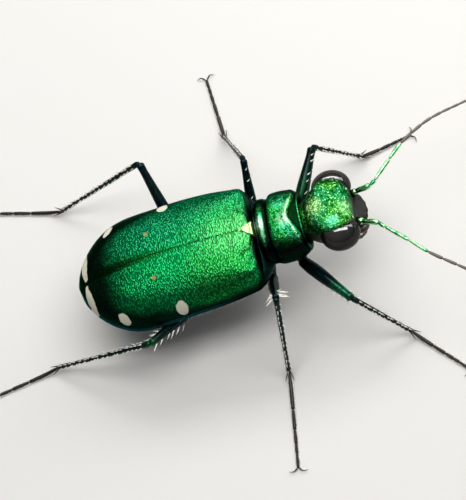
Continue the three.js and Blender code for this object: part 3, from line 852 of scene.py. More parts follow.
def eye_shell(side):
    turns = np.linspace(0.02, np.pi - 0.02, 60)
    around = turns_of(EYE_SIDES)
    rings = []
    for turn in turns:
        y = EYE_MIDDLE[1] - EYE_RADII[1] * math.cos(turn)
        wide = math.sin(turn)
        x = EYE_MIDDLE[0] + EYE_RADII[0] * wide * np.cos(around)
        z = EYE_MIDDLE[2] + EYE_RADII[2] * wide * np.sin(around)
        for k, at in enumerate(x):
            zc, half, up = (size(at) for size in HEAD_CURVES[:3])
            roof = zc + (up - zc) * min(1.0, y / half) ** PLATE_POWER - ROOF_GAP + 2.0 * max(0.0, y - half)
            z[k] = min(z[k], max(roof, EYE_MIDDLE[2]))
        rings.append(np.stack([x, np.full(EYE_SIDES, side * y), z], axis=1))
    return loft(rings, turns / np.pi)


def eye_look():
    cell = grains(30.0)
    cloud = noise(1.6, 3.0)
    rim = Wire.node("ShaderNodeLayerWeight", None, {0: 0.5}, "Facing").rise(0.1, 0.65)
    top = place_mm(2).rise(4.45, 4.8)
    colour = blend(cloud.rise(0.35, 0.7), (0.003, 0.002, 0.001), (0.014, 0.009, 0.005))
    return {
        "Base Color": blend(cell.rise(0.3, 0.8) * 0.5, colour, (0.004, 0.003, 0.002)),
        "Metallic": 0.0,
        "Roughness": 0.3 + cloud * 0.1,
        "Specular IOR Level": 0.08,
        "Coat Weight": (1.0 - rim * 0.93) * (top * 0.88 + 0.12),
        "Coat Roughness": 0.06,
        "Coat IOR": 2.3,
        "height": (1 - cell, 0.002),
    }


eye_brown = finish("eye_brown", eye_look)
for side, hand in HANDS:
    name = "eye_" + hand
    piece(name + "_dome", [eye_shell(side)], HEAD, eye_brown, [name])


# Mouth
# A dark lip with small teeth over two sickle jaws, the left crossing over the right, and a pair
# of jointed palps on each side, all smooth brown horn.
def centreline(points, count, hint=(0.0, 0.0, 1.0)):
    """Even points along a path, with its direction, and a side and an up across it."""
    path = even(spline(points), count)
    ahead = np.gradient(path, axis=0)
    ahead /= np.linalg.norm(ahead, axis=1, keepdims=True)
    ups = []
    up = np.array(hint, float)
    for direction in ahead:
        up = up - direction * np.dot(up, direction)
        up /= np.linalg.norm(up)
        ups.append(up)
    ups = np.array(ups)
    return path, ahead, np.cross(ups, ahead), ups


def round_ends(t, start, end):
    """A factor for the radius that closes a rod with a dome over these shares of its length."""
    near = np.clip((start - t) / start, 0, 1)
    far = np.clip((t - 1 + end) / end, 0, 1)
    return np.sqrt(np.maximum(1 - near**2, 0.0)) * np.sqrt(np.maximum(1 - far**2, 0.0))


def rod(points, radius, sides=20, steps=24, span=(0.0, 1.0), flat=1.0, ends=(0.1, 0.1)):
    """A round rod along a path, by a radius for each share of its length, with domed ends."""
    path, _, side, up = centreline(points, 4 * steps + 1)
    t = spread(steps, 0.0, 1.0)
    pick = np.unique(np.rint(t * 4 * steps).astype(int))
    t = pick / (4 * steps)
    size = radius(t) * np.maximum(round_ends(t, *ends), 0.04)
    around = turns_of(sides)
    rings = [
        path[k] + r * (flat * np.cos(around)[:, None] * side[k] + np.sin(around)[:, None] * up[k])
        for k, r in zip(pick, size)
    ]
    return loft(rings, span[0] + (span[1] - span[0]) * t)


LIP_LENGTH = 0.56
LIP_HALF_WIDTH = 0.86
LIP_FALL = 0.28
LIP_TOOTH = 0.012
LIP_TOOTH_STEP = 0.3


def on_side(points, side):
    """Points of the left side, or mirrored for the right."""
    return [(x, y * side, z) for x, y, z in points]


def lip_shell():
    rings, along = [], []
    around = turns_of(96)
    start = HEAD_LENGTH + 0.01
    for t in spread(26, 0.0, 1.0):
        narrow = math.sqrt(max(0.03, 1 - t**1.9))
        c, s = np.cos(around), np.sin(around)
        y = LIP_HALF_WIDTH * narrow * bent(c, 0.6)
        teeth = LIP_TOOTH * ramp(t, 0.3, 0.9) * np.cos(y * 2 * np.pi / LIP_TOOTH_STEP)
        thick = 0.12 * (0.35 + 0.65 * math.sin(math.pi * min(1, 0.25 + 0.75 * (1 - t)) / 2))
        z = thick * bent(s, 0.8) - 0.06 - LIP_FALL * t**1.4 - 0.16 * (y / LIP_HALF_WIDTH) ** 2
        x = start - 0.06 + LIP_LENGTH * t + teeth
        rings.append(np.stack([x, y, z], axis=1))
        along.append(t)
    return loft(rings, along)


def horn(dark, pale, per_mm, roughness):
    """Smooth brown horn with soft clouds and a fine grain."""

    def look():
        cloud = noise(per_mm, 3.0, 0.6)
        cell = grains(26.0)
        return {
            "Base Color": blend(cloud.rise(0.3, 0.7), dark, pale),
            "Metallic": 0.0,
            "Roughness": roughness + cloud * 0.15,
            "Specular IOR Level": 0.3,
            "height": (cloud * 0.7 + cell * 0.3, 0.01),
        }

    return look


lip_dark = finish("lip_dark", horn((0.003, 0.0026, 0.002), (0.012, 0.01, 0.007), 2.5, 0.32))
piece("labrum_lip", [lip_shell()], HEAD, lip_dark, ["labrum"])

jaw_brown = finish("jaw_brown", horn((0.005, 0.003, 0.002), (0.03, 0.016, 0.008), 2.0, 0.26))
# Heights of the jaws' tips in the head's frame.
JAW_LEVELS = {"left": -1.0, "right": -1.36}
for side, hand in HANDS:
    level = JAW_LEVELS[hand]
    middle = (level - 0.97) / 2
    blade = [(1.8, 0.56, -0.82), (2.1, 0.6, -0.94), (2.3, 0.38, middle), (2.34, -0.02, level)]
    shells = [rod(on_side(blade, side),
                  lambda t: 0.17 - 0.12 * t**1.3, 20, 28, flat=0.75, ends=(0.1, 0.12))]
    teeth = (((2.28, 0.48, middle + 0.03), (2.1, 0.34, middle)),
             ((2.32, 0.32, middle - 0.01), (2.16, 0.18, middle - 0.03)),
             ((2.18, 0.6, -0.96), (1.98, 0.42, -0.98)))
    for tooth in teeth:
        shells.append(rod(on_side(tooth, side), lambda t: 0.085 - 0.07 * t, 12, 8, ends=(0.1, 0.2)))
    name = "mandible_" + hand
    piece(name + "_jaw", shells, HEAD, jaw_brown, [name])

PALPS = (
    ((1.4, 0.5, -0.85), (1.72, 0.68, -1.27), (1.98, 0.58, -1.55), (2.2, 0.3, -1.7)),
    ((1.4, 0.22, -0.95), (1.66, 0.34, -1.32), (1.86, 0.32, -1.52), (2.04, 0.14, -1.64)),
)
PALP_JOINTS = (0.0, 0.2, 0.5, 0.74, 1.0)
PALP_GIRTHS = (0.085, 0.07)


def jointed(points, joints, radius, sides, ends=0.12, waist=0.72):
    """A chain of joints along a path, each narrow at its base and wider to its end."""
    path = spline(points)
    length = lengths(path)
    shells = []
    for first, last in zip(joints, joints[1:]):
        near, far = first * length[-1], last * length[-1] * 1.002
        wanted = np.linspace(near, far, 5)
        stretch = np.stack([np.interp(wanted, length, path[:, k]) for k in range(3)], axis=1)

        def size(t, first=first, last=last):
            whole = first + (last - first) * t
            return radius(whole) * (waist + (1 - waist) * np.minimum(1, t / 0.55) ** 0.8)

        shells.append(rod(stretch, size, sides, 12, (first, last), ends=(ends, ends)))
    return shells


def palp_radius(girth):
    return lambda t: girth * (1.1 - 0.35 * t)


shells = []
for side in (1, -1):
    for points, girth in zip(PALPS, PALP_GIRTHS):
        shells += jointed(on_side(points, side), PALP_JOINTS, palp_radius(girth), 14)
palp_brown = finish("palp_brown", horn((0.05, 0.03, 0.015), (0.16, 0.11, 0.06), 3.0, 0.3))
piece("palps", shells, HEAD, palp_brown, [])


# Feelers
# Eleven joints each: the first thick, the second short, the first four metallic green, the rest
# dull brown with a fine grain like down.
FEELERS = {
    "antenna_left": ((4.1, 0.6, 3.98), (4.3, 0.6, 4.12), (4.54, 0.55, 4.32),
                     (4.81, 0.51, 4.46), (5.05, 0.64, 4.5), (5.39, 0.96, 4.53), (6.0, 1.52, 4.6),
                     (6.42, 1.89, 4.63), (7.68, 2.63, 4.58), (9.36, 3.3, 4.05)),
    "antenna_right": ((4.1, -0.62, 3.98), (4.3, -0.74, 4.1), (4.56, -0.92, 4.3),
                      (4.87, -1.09, 4.42), (5.05, -1.31, 4.46), (5.92, -2.2, 4.53),
                      (6.56, -2.88, 4.53), (7.84, -3.89, 4.38), (9.5, -5.05, 3.8)),
}
FEELER_SHARES = (0.15, 0.04, 0.165, 0.125, 0.09, 0.085, 0.08, 0.075, 0.07, 0.06, 0.06)
FEELER_JOINTS = np.concatenate([[0], np.cumsum(FEELER_SHARES)])
GREEN_UP_TO = FEELER_JOINTS[4]


def feeler_radius(t):
    return np.where(t < FEELER_JOINTS[1], 0.12, 0.095 - 0.045 * t)


def feeler_look():
    along, _ = map_axes()
    dull = along.rise(GREEN_UP_TO - 0.004, GREEN_UP_TO + 0.004)
    cloud = noise(3.0, 3.0)
    down = noise(30.0, 2.0, 0.7)
    green = blend(cloud.rise(0.36, 0.54), (0.012, 0.3, 0.1), (0.35, 0.85, 0.35))
    green = blend(along.rise(0.008, 0.02), BROWN_BLACK, green)
    brown = blend(down.rise(0.3, 0.7), (0.045, 0.034, 0.025), (0.16, 0.13, 0.1))
    return {
        "Base Color": blend(dull, green, brown),
        "Metallic": 1 - dull,
        "Roughness": 0.16 + dull * 0.4,
        "Coat Weight": 0.3,
        "height": (down, 0.006),
    }


feeler_green = finish("feeler_green", feeler_look)
for name, route in FEELERS.items():
    path = [np.array(k) for k in route]
    shells = jointed(path, FEELER_JOINTS, feeler_radius, 18, 0.1, 0.7)
    bulb = [path[0] + share * (path[1] - path[0]) for share in (-0.7, 0.2, 1.1)]
    shells.append(rod(bulb, lambda t: 0.17 - 0.03 * t, 20, 10, (0.0, 0.02), ends=(0.3, 0.35)))
    piece(name + "_feeler", shells, ANIMAL, feeler_green, [name])


# Underside
# Thorax and belly in one hard dark blue green skin under the wing covers, with a step at the
# edge of each belly ring and fine lines between the plates of the thorax.
BELLY_DEPTH = 1.42
BELLY_POWER = 1.75
BELLY_SPAN = (-0.07, 0.978)
BELLY_RINGS = 150
BELLY_POINTS = 72
WAIST = 0.4
DARK_TINT = (0.4, 0.5, 0.5, 1.0)
RING_EDGES = tuple(WAIST + 0.03 + 0.54 * (k + 0.5) / 6 for k in range(6))


def belly_depth(s):
    front = 1 - 0.45 * np.maximum(0, (0.08 - s) / 0.15) ** 2
    return BELLY_DEPTH * front * round_off((s - 0.25) / 0.78, 2.2) ** 0.7


def belly_ring(s):
    """A ring of the underside at a share of the wing covers' length."""
    neck = float(ramp(s, -0.09, 0.05))
    half = neck * (cover_half_width(max(s, SHOULDER)) - 0.14) + (1 - neck)
    angles = turns_of(BELLY_POINTS)
    c, sn = np.cos(angles), np.sin(angles)
    y = half * bent(c, 2 / BELLY_POWER)
    deep = max(0.02, belly_depth(s) - 0.6 * rim_dip(s))
    shell_top = 0.55 * max(0.04, cover_crown(max(s, SHOULDER)) - 0.25)
    z = np.where(sn < 0, deep, shell_top) * bent(sn, 2 / BELLY_POWER)
    step = 0.0
    for edge in RING_EDGES:
        step += 0.03 * (edge < s) * max(0.0, 1 - (s - edge) / 0.05)
    line = 0.02 * bump_at(s, 0.2, 0.006) + 0.02 * bump_at(s, 0.06, 0.006)
    pleat = 0.018 * bump_at(np.abs(y), half * 0.8, 0.03) * (sn < 0)
    size = 1 - step - line - pleat
    x = np.full(BELLY_POINTS, -ELYTRA_LENGTH * s)
    return np.stack([x, y * size, z * size - 0.1 - rim_dip(s)], axis=1)


def underside_look():
    cloud = noise(0.7, 3.0)
    small = noise(7.0, 3.0, 0.6)
    colour = blend(cloud.rise(0.35, 0.65), (0.002, 0.016, 0.012), (0.002, 0.01, 0.022))
    colour = blend(small.rise(0.5, 0.75), colour, (0.006, 0.05, 0.03))
    return {
        "Base Color": colour,
        "Metallic": 0.85,
        "Roughness": 0.28 + small * 0.15,
        "Specular Tint": DARK_TINT,
        "height": (small, 0.01),
    }


underside_green = finish("underside_green", underside_look)
stations = spread(BELLY_RINGS, *BELLY_SPAN)
shell = loft([belly_ring(s) for s in stations], 0.1 + stations * 0.8)
piece("underside_skin", [shell], TRUNK, underside_green, ["thorax", "abdomen"])


# Legs
# Each is hip, thigh ring, thigh, shin with two spurs, and a foot of five joints with two claws:
# slender dark metallic horn, browner in the foot.
HIPS = {"front": (1.35, 0.55, 2.6), "middle": (-0.05, 0.7, 2.0), "hind": (-2.85, 0.9, 1.9)}
# Each leg: how far its thigh's root is swung back, in degrees, then its knee, ankle and toe.
LEGS = {
    "leg_front_left": (0, (2.83, 3.38, 3.2), (4.49, 3.79), (6.65, 4.27)),
    "leg_front_right": (22, (3.1, -3.38, 3.0), (4.97, -4.29), (6.82, -6.3)),
    "leg_middle_left": (20, (0.01, 3.48, 3.5), (-0.94, 6.19), (-1.22, 9.1)),
    "leg_middle_right": (0, (0.21, -2.92, 3.8), (-0.26, -4.78), (-0.69, -8.75)),
    "leg_hind_left": (32, (-4.17, 4.34, 3.75), (-8.29, 4.73), (-11.8, 5.65)),
    "leg_hind_right": (-20, (-5.2, -3.19, 3.0), (-9.56, -2.09), (-13.1, -2.75)),
}
ANKLE_HEIGHT = 0.24
SOLE_HEIGHT = 0.11
TOE_RADIUS = 0.055
FOOT_SHARES = (0.38, 0.21, 0.15, 0.1, 0.16)
FOOT_JOINTS = np.concatenate([[0], np.cumsum(FOOT_SHARES)])
THIGH_SPAN = (0.15, 0.45)
SHIN_SPAN = (0.45, 0.72)
FOOT_SPAN = (0.72, 0.95)


def joints_of(name):
    _, pair, hand = name.split("_")
    side = 1 if hand == "left" else -1
    hip = np.array(HIPS[pair]) * (1, side, 1)
    swing, knee, ankle, toe = LEGS[name]
    knee = np.array(knee)
    reach = (knee - hip) * (1, 1, 0)
    reach = moved(reach / np.linalg.norm(reach), frame_of((0, 0, 0), swing * side))
    thigh = hip + 0.5 * reach - (0, 0, 0.28)
    return hip, thigh, knee, np.array((*ankle, ANKLE_HEIGHT)), np.array((*toe, TOE_RADIUS + 0.01))


THIGH_GIRTHS = {"front": 1.12, "middle": 0.92, "hind": 1.04}


def thigh_size(name):
    """The radius of one leg's thigh for each share of its length."""

    def radius(t):
        slim = 0.1 * ramp(t, 0.3, 1.0) + 0.03 * ramp(t, 0.2, 0.0)
        return THIGH_GIRTHS[name.split("_")[1]] * (0.245 - slim + 0.015 * bump_at(t, 0.97, 0.05))

    return radius


def shin_radius(t):
    return 0.125 - 0.02 * ramp(t, 0.0, 0.2) - 0.02 * ramp(t, 0.3, 0.7) + 0.02 * ramp(t, 0.8, 1.0)


def foot_path(ankle, toe):
    along = (toe - ankle) * (1, 1, 0)
    along /= np.linalg.norm(along)
    landing = ankle + 0.55 * along
    landing[2] = SOLE_HEIGHT
    return [ankle, landing, (landing + toe) / 2 * (1, 1, 0) + (0, 0, 0.075), toe], along


def foot_radius(t):
    return 0.088 - 0.03 * t


def scaled(shells, start, end):
    """The same shells with their map's length axis moved into a span."""
    return [(p, f, [[(start + (end - start) * u, v) for u, v in spots] for spots in uvs])
            for p, f, uvs in shells]


# Points of spurs and claws: how far along the foot, out to one side and up.
SPUR_ROOT = (0.0, 0.06, 0.0)
SPUR_REACH = (0.36, 0.14, -0.06)
CLAW = ((0.0, 0.04, 0.0), (0.14, 0.2, 0.04), (0.1, 0.4, -0.02))


def spine(path, steps, end):
    """A thin pointed spine of horn, in the colour of the foot."""
    return rod(path, lambda t: 0.035 - 0.028 * t, 10, steps, (0.95, 1.0), ends=(0.1, end))


def leg_shells(name):
    hip, thigh, knee, ankle, toe = joints_of(name)
    shells = [rod([hip + (0, 0, 0.12), (hip + thigh) / 2, thigh], lambda t: 0.36 - 0.17 * t, 24, 14,
                  (0.0, 0.1), ends=(0.3, 0.2))]
    reach = (knee - thigh) / np.linalg.norm(knee - thigh)
    shells.append(rod([thigh - 0.12 * reach, thigh + 0.16 * reach],
                      lambda t: 0.24 - 0.02 * t, 20, 10, (0.1, 0.15), ends=(0.45, 0.4)))
    shells.append(rod([thigh, knee], thigh_size(name), 24, 40, THIGH_SPAN, 1.0, (0.03, 0.03)))
    shells.append(rod([knee, ankle], shin_radius, 18, 30, SHIN_SPAN, ends=(0.03, 0.02)))
    path, along = foot_path(ankle, toe)
    shells += scaled(jointed(path, FOOT_JOINTS, foot_radius, 14, 0.08, 0.62), *FOOT_SPAN)
    across = np.cross((0, 0, 1), along)
    down_shin = (ankle - knee) / np.linalg.norm(ankle - knee)
    for hand in (1, -1):

        def beside(place, offset, hand=hand):
            return place + offset[0] * along + offset[1] * hand * across + (0, 0, offset[2])

        root = beside(ankle - 0.04 * down_shin, SPUR_ROOT)
        tip = beside(root, SPUR_REACH)
        shells.append(spine([root, (root + tip) / 2, tip], 8, 0.2))
        shells.append(spine([beside(toe, offset) for offset in CLAW], 12, 0.15))
    return shells


# Painted highlights of brighter green on some thighs: where, how far it reaches, and its colour.
LEG_HIGHLIGHTS = (
    (joints_of("leg_front_right")[2] - (0.25, -0.5, 0.0), 1.0, (0.007, 0.19, 0.08)),
    (joints_of("leg_front_left")[1] + (0.5, 0.9, 0.2), 1.5, (0.006, 0.07, 0.02)),
    (joints_of("leg_hind_right")[2], 0.5, (0.006, 0.13, 0.03)),
)


def leg_look():
    along, _ = map_axes()
    cloud = noise(1.2, 2.0)
    small = noise(9.0, 3.0, 0.6)
    colour = blend(cloud.rise(0.35, 0.65), (0.0015, 0.013, 0.009), (0.002, 0.009, 0.016))
    colour = blend(small.rise(0.5, 0.8), colour, (0.006, 0.05, 0.026))
    for spot, reach, highlight_colour in LEG_HIGHLIGHTS:
        near = 1 - (distance_mm(spot) + cloud * 0.3).rise(0.1, reach)
        colour = blend(near * small.rise(0.25, 0.6), colour, highlight_colour)
    foot = along.rise(0.6, 0.76)
    colour = blend(foot, colour, (0.014, 0.009, 0.006))
    return {
        "Base Color": colour,
        "Metallic": 0.85 - foot * 0.6,
        "Roughness": 0.26 + small * 0.15,
        "Specular Tint": DARK_TINT,
        "Coat Weight": 0.15,
        "height": (small, 0.008),
    }


leg_dark = finish("leg_dark", leg_look)
for name in LEGS:
    piece(name + "_limb", leg_shells(name), ANIMAL, leg_dark, [name])


# Bristles
# Stiff white bristles in rows along the legs, tufts at the middle right knee, and fine white hairs
# low on the sides: one bent, tapered strand set at each root and turned to its own lie.
STRAND_PATCH = 0.003
STRAND_GIRTH = 0.25
STRAND_STEPS = 6
STRAND_SIDES = 5
# Steps along a row's limb, how uneven its gaps are, and how deep in the limb its roots lie.
ROW_STEPS = 160
ROW_JITTER = 0.25
ROOT_DEPTH = 0.9
dice = np.random.default_rng(7)


def strand_tree(material):
    tree = bpy.data.node_groups.new("strands", "GeometryNodeTree")
    tree.interface.new_socket("Roots", in_out="INPUT", socket_type="NodeSocketGeometry")
    for name in ("Thickness", "Sag"):
        tree.interface.new_socket(name, in_out="INPUT", socket_type="NodeSocketFloat")
    tree.interface.new_socket("Strands", in_out="OUTPUT", socket_type="NodeSocketGeometry")
    Wire.tree = tree
    given = tree.nodes.new("NodeGroupInput")
    roots, thickness, sag = (Wire(given.outputs[k]) for k in range(3))
    tip = Wire.node("ShaderNodeCombineXYZ", None, {0: sag, 2: 1.0})
    inputs = {"Resolution": STRAND_STEPS, "Start": (0, 0, 0), "Middle": (0, 0, 0.6), "End": tip}
    line = Wire.node("GeometryNodeCurveQuadraticBezier", None, inputs)
    share = Wire.node("GeometryNodeSplineParameter")
    section = Wire.node("GeometryNodeCurvePrimitiveCircle", None, {0: STRAND_SIDES, 4: thickness})
    inputs = {"Curve": line, "Profile Curve": section, "Scale": 1.06 - share, "Fill Caps": True}
    strand = Wire.node("GeometryNodeCurveToMesh", None, inputs)
    spot = Wire.node("GeometryNodeInputPosition")
    settings = {"data_type": "FLOAT_VECTOR", "domain": "POINT"}
    inputs = {"Geometry": strand, "Name": "own_place", "Value": spot}
    strand = Wire.node("GeometryNodeStoreNamedAttribute", settings, inputs)

    def named(name, kind="FLOAT_VECTOR"):
        return Wire.node("GeometryNodeInputNamedAttribute", {"data_type": kind}, {"Name": name})

    settings = {"primary_axis": "Z", "secondary_axis": "X"}
    turn = Wire.node("FunctionNodeAxesToRotation", settings, {0: named("aim"), 1: named("lean")})
    inputs = {"Points": roots, "Instance": strand, "Rotation": turn, "Scale": named("size")}
    whole = Wire.node("GeometryNodeInstanceOnPoints", None, inputs)
    whole = Wire.node("GeometryNodeRealizeInstances", None, {0: whole})
    patch = Wire.node("ShaderNodeVectorMath", {"operation": "SCALE"},
                      {0: named("own_place"), 3: STRAND_PATCH})
    around = [Wire.node("ShaderNodeSeparateXYZ", None, {0: patch}, k) for k in (2, 1)]
    patch = Wire.node("ShaderNodeCombineXYZ", None, {0: around[0], 1: around[1]})
    patch = Wire.node("ShaderNodeVectorMath", {"operation": "ADD"}, {0: named("root_map"), 1: patch})
    settings = {"data_type": "FLOAT2", "domain": "CORNER"}
    inputs = {"Geometry": whole, "Name": "OFBake", "Value": patch}
    whole = Wire.node("GeometryNodeStoreNamedAttribute", settings, inputs)
    whole = Wire.node("GeometryNodeSetShadeSmooth", None, {0: whole})
    whole = Wire.node("GeometryNodeSetMaterial", None, {"Geometry": whole, "Material": material})
    end = tree.nodes.new("NodeGroupOutput")
    tree.links.new(whole.socket, end.inputs[0])
    return tree


def strands(name, roots, material, thickness, sag):
    """Strands on roots, each root a place, an aim, a lean, a length and a place on the map."""
    mesh = bpy.data.meshes.new(name + "_roots")
    place = (np.array([r[0] for r in roots]) + ORIGIN) * MM
    mesh.from_pydata(place.tolist(), [], [])
    columns = {
        "aim": [r[1] for r in roots],
        "lean": [r[2] for r in roots],
        "size": [[math.sqrt(STRAND_GIRTH * r[3]) * MM] * 2 + [r[3] * MM] for r in roots],
        "root_map": [(*r[4], 0.0) for r in roots],
    }
    for key, values in columns.items():
        data = mesh.attributes.new(key, "FLOAT_VECTOR", "POINT").data
        data.foreach_set("vector", np.array(values, float).ravel())
    thing = bpy.data.objects.new(name, mesh)
    bpy.context.scene.collection.objects.link(thing)
    made = thing.modifiers.new("strands", "NODES")
    tree = strand_tree(material)
    made.node_group = tree
    sockets = {item.name: item.identifier for item in tree.interface.items_tree}
    made[sockets["Thickness"]] = thickness
    made[sockets["Sag"]] = sag
    graph = bpy.context.evaluated_depsgraph_get()
    final = bpy.data.meshes.new_from_object(thing.evaluated_get(graph))
    thing.modifiers.clear()
    thing.data = final
    for attribute in ("own_place", "aim", "lean", "size", "root_map"):
        if attribute in final.attributes:
            final.attributes.remove(final.attributes[attribute])
    return dressed(thing, [])


def row(line, radius, angle, spacing, size, tilt, span, map_at, veer=0.0):
    """Roots in a row along a limb, at an angle round it, tilted away from it by degrees."""
    path, ahead, side, up = centreline(line, ROW_STEPS + 1)
    length = np.linalg.norm(np.diff(path, axis=0), axis=1).sum()
    count = max(2, int(round((span[1] - span[0]) * length / spacing)))
    roots = []
    for k in range(count):
        t = span[0] + (span[1] - span[0]) * (k + 0.5 + dice.uniform(-ROW_JITTER, ROW_JITTER)) / count
        turn = math.radians(angle + dice.uniform(-9, 9))
        i = int(round(t * ROW_STEPS))
        out = math.cos(turn) * side[i] + math.sin(turn) * up[i]
        far = float(radius(np.array(t)))
        lie = math.radians(tilt + dice.uniform(-7, 7))
        turn += math.radians(veer)
        away = math.cos(turn) * side[i] + math.sin(turn) * up[i]
        aim = math.cos(lie) * ahead[i] + math.sin(lie) * away
        grow = size * dice.uniform(0.9, 1.3)
        start, end, lane = map_at
        spot = (start + (end - start) * t, lane + 0.1 * (angle % 360) / 360)
        roots.append((path[i] + out * far * ROOT_DEPTH, aim, ahead[i], grow, spot))
    return roots


# Rows on each thigh: angle round it, spacing, length, tilt, start and end of its span, and veer.
# The right thighs carry long combs; the left ones lie turned so that short dashes show.
THIGH_ROWS = {
    "leg_front_left": ((122, 0.42, 0.15, 50, 0.12, 0.97, 62), (180, 0.3, 0.12, 40, 0.3, 0.95, 0),
                       (0, 0.34, 0.1, 40, 0.2, 0.95, 0)),
    "leg_front_right": ((205, 0.23, 0.3, 62, 0.4, 0.97, 0), (-5, 0.22, 0.2, 50, 0.15, 0.9, 0),
                        (20, 0.12, 0.26, 45, 0.88, 0.99, 0)),
    "leg_middle_left": ((100, 0.55, 0.13, 55, 0.15, 0.97, 70), (180, 0.4, 0.1, 40, 0.3, 0.95, 0)),
    "leg_middle_right": ((205, 0.2, 0.38, 75, 0.66, 0.98, 0), (-20, 0.2, 0.4, 75, 0.64, 0.98, 0),
                         (160, 0.3, 0.36, 45, 0.74, 0.98, 0), (25, 0.3, 0.36, 45, 0.74, 0.98, 0),
                         (210, 0.25, 0.26, 60, 0.2, 0.7, 0)),
    "leg_hind_left": ((175, 0.22, 0.09, 45, 0.2, 0.9, 0), (225, 0.3, 0.12, 50, 0.2, 0.9, 0)),
    "leg_hind_right": ((212, 0.2, 0.3, 62, 0.2, 0.95, 0), (-20, 0.34, 0.34, 38, 0.35, 0.95, 0),
                       (185, 0.26, 0.24, 55, 0.3, 0.9, 0)),
}
SHIN_ROWS = ((15, 0.27, 0.2, 32), (165, 0.27, 0.2, 32), (-80, 0.34, 0.14, 40), (95, 0.27, 0.2, 12))


def leg_roots(name, number):
    _, thigh, knee, ankle, toe = joints_of(name)
    lane = 0.02 + 0.16 * number
    thigh_at, shin_at = (*THIGH_SPAN, lane), (*SHIN_SPAN, lane)
    roots = []
    for angle, gap, size, tilt, start, end, veer in THIGH_ROWS[name]:
        roots += row([thigh, knee], thigh_size(name), angle, gap, size, tilt, (start, end), thigh_at,
                     veer=veer)
    for angle, gap, size, tilt in SHIN_ROWS:
        roots += row([knee, ankle], shin_radius, angle, gap, size, tilt, (0.05, 0.97), shin_at)
    path, _ = foot_path(ankle, toe)
    for angle in (-15, 195):
        roots += row(path, foot_radius, angle, 0.14, 0.12, 35, (0.05, 0.93), (*FOOT_SPAN, lane))
    return roots


def bristle_look():
    cloud = noise(4.0, 2.0)
    return {
        "Base Color": blend(cloud.rise(0.3, 0.7), (0.62, 0.58, 0.5), (0.86, 0.84, 0.78)),
        "Metallic": 0.0,
        "Roughness": 0.35 + cloud * 0.15,
        "height": (cloud, 0.002),
    }


bristle_white = finish("bristle_white", bristle_look)
roots = []
for number, name in enumerate(LEGS):
    roots += leg_roots(name, number)
strands("leg_bristles", roots, bristle_white, 0.14, 0.2)

# Hair of the sides: sparse, short and lying back, thickest on the thorax.
HAIRS_A_SIDE = 260
THORAX_END = 0.34
HAIR_LENGTHS = (0.2, 0.34)
roots = []
for side in (1, -1):
    for k in range(HAIRS_A_SIDE):
        s = float(dice.uniform(0.02, THORAX_END) if k % 3 else dice.uniform(THORAX_END, 0.9))
        ring = belly_ring(s)
        angle = dice.uniform(0.25, 0.6) if s < THORAX_END else dice.uniform(0.1, 0.35)
        ring_place = len(ring) * (1 - angle / (2 * np.pi))
        i = int(ring_place) % len(ring)
        spot = ring[i] * (1, side, 1)
        next_ring = belly_ring(s + 0.01)
        tangent = ring[(i + 1) % len(ring)] - ring[i - 1]
        backward = next_ring[i] - ring[i]
        out = np.cross(tangent, backward)
        out *= np.sign(out[1]) / np.linalg.norm(out)
        out *= (1, side, 1)
        turn = TRUNK[:3, :3]
        lie = backward * (1, side, 1) / np.linalg.norm(backward) + (0, 0, -0.5)
        aim = out * 0.7 + lie * dice.uniform(0.5, 1.1) + dice.normal(0, 0.15, 3)
        size = dice.uniform(*HAIR_LENGTHS)
        place_map = (0.1 + 0.8 * s, 0.25 + side * angle / 4)
        roots.append((moved(spot, TRUNK), turn @ (aim / np.linalg.norm(aim)), turn @ lie, size, place_map))
strands("side_hairs", roots, bristle_white, 0.07, 0.25)


# Floor
# A plain pale studio floor under the feet.
def floor_look():
    cloud = noise(0.02, 3.0)
    return {
        "Base Color": blend(cloud, (0.6, 0.585, 0.555), (0.64, 0.625, 0.6)),
        "Metallic": 0.0,
        "Roughness": 0.8,
        "height": (cloud, 0.01),
    }


FLOOR_HALF = 0.6
corners = [(x * FLOOR_HALF, y * FLOOR_HALF, 0.0) for x, y in ((-1, -1), (1, -1), (1, 1), (-1, 1))]
floor_mesh = bpy.data.meshes.new("floor")
floor_mesh.from_pydata(corners, [], [(0, 1, 2, 3)])
floor_mesh.materials.append(finish("floor", floor_look))
floor = bpy.data.objects.new("floor", floor_mesh)
bpy.context.scene.collection.objects.link(floor)

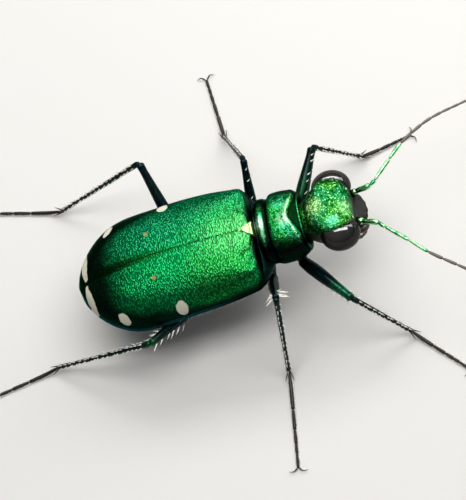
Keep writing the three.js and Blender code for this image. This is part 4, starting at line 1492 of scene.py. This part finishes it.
# Light
# Two long soft lights high over the animal, one more to its left, a large weak one between them,
# a small one ahead, and a dim even room.
CENTRE = Vector((0.0, 0.0, 0.003))
LIGHTS = (
    ("left_strip", (18.0, 60.0, 64.0), (120.0, 28.0), 0.061),
    ("right_strip", (18.0, 2.0, 89.0), (120.0, 36.0), 0.078),
    ("overhead", (6.0, 42.0, 80.0), (88.0, 88.0), 0.012),
    ("front", (92.0, 42.0, 42.0), (44.0, 44.0), 0.018),
)
ROOM_COLOUR = (0.92, 0.96, 1.0, 1.0)
ROOM_STRENGTH = 0.16
for name, place, wide, watts in LIGHTS:
    lamp = bpy.data.lights.new(name, "AREA")
    lamp.shape = "RECTANGLE"
    lamp.size, lamp.size_y = (side * MM for side in wide)
    lamp.energy = watts
    stand = bpy.data.objects.new(name, lamp)
    stand.location = Vector(place) * MM
    out = (stand.location - CENTRE).normalized()
    across = Vector((1, 0, 0)) if out.x < 0.5 else Vector((0, 1, 0))
    across = (across - out * across.dot(out)).normalized()
    stand.rotation_euler = Matrix((across, out.cross(across), out)).transposed().to_euler()
    bpy.context.scene.collection.objects.link(stand)
world = bpy.data.worlds.new("room")
world.use_nodes = True
world.node_tree.nodes["Background"].inputs[0].default_value = ROOM_COLOUR
world.node_tree.nodes["Background"].inputs[1].default_value = ROOM_STRENGTH
bpy.context.scene.world = world
bpy.context.scene.view_settings.view_transform = "Standard"

# Camera
# High over the right shoulder and turned, as in the photograph.
CAMERA_AZIMUTH = 14.02
CAMERA_ELEVATION = 65.59
CAMERA_ROLL = 26.93
CAMERA_DISTANCE = 130.0
CAMERA_TARGET = (0.0, 0.0, 3.3)
FOCAL_PIXELS = 3236.5
MIDDLE_PIXEL = (259.574, 237.942)
PICTURE = (466, 500)
SENSOR = 36.0
azimuth, elevation, roll = (math.radians(k) for k in (CAMERA_AZIMUTH, CAMERA_ELEVATION, CAMERA_ROLL))
back = Vector((math.sin(azimuth) * math.cos(elevation), -math.cos(azimuth) * math.cos(elevation),
               math.sin(elevation)))
level = Vector((0, 0, 1)).cross(back).normalized()
rise = back.cross(level)
right = math.cos(roll) * level - math.sin(roll) * rise
above = math.sin(roll) * level + math.cos(roll) * rise
target = Vector(np.array(CAMERA_TARGET) + ORIGIN)
lens = bpy.data.cameras.new("camera")
lens.sensor_width = SENSOR
lens.lens = FOCAL_PIXELS * SENSOR / PICTURE[1]
lens.shift_x = -(MIDDLE_PIXEL[0] - PICTURE[0] / 2) / PICTURE[1]
lens.shift_y = (MIDDLE_PIXEL[1] - PICTURE[1] / 2) / PICTURE[1]
lens.clip_start = 0.001
camera = bpy.data.objects.new("camera", lens)
facing = Matrix((right, above, back)).transposed().to_4x4()
camera.matrix_world = Matrix.Translation((target + back * CAMERA_DISTANCE) * MM) @ facing
bpy.context.scene.collection.objects.link(camera)
bpy.context.scene.camera = camera
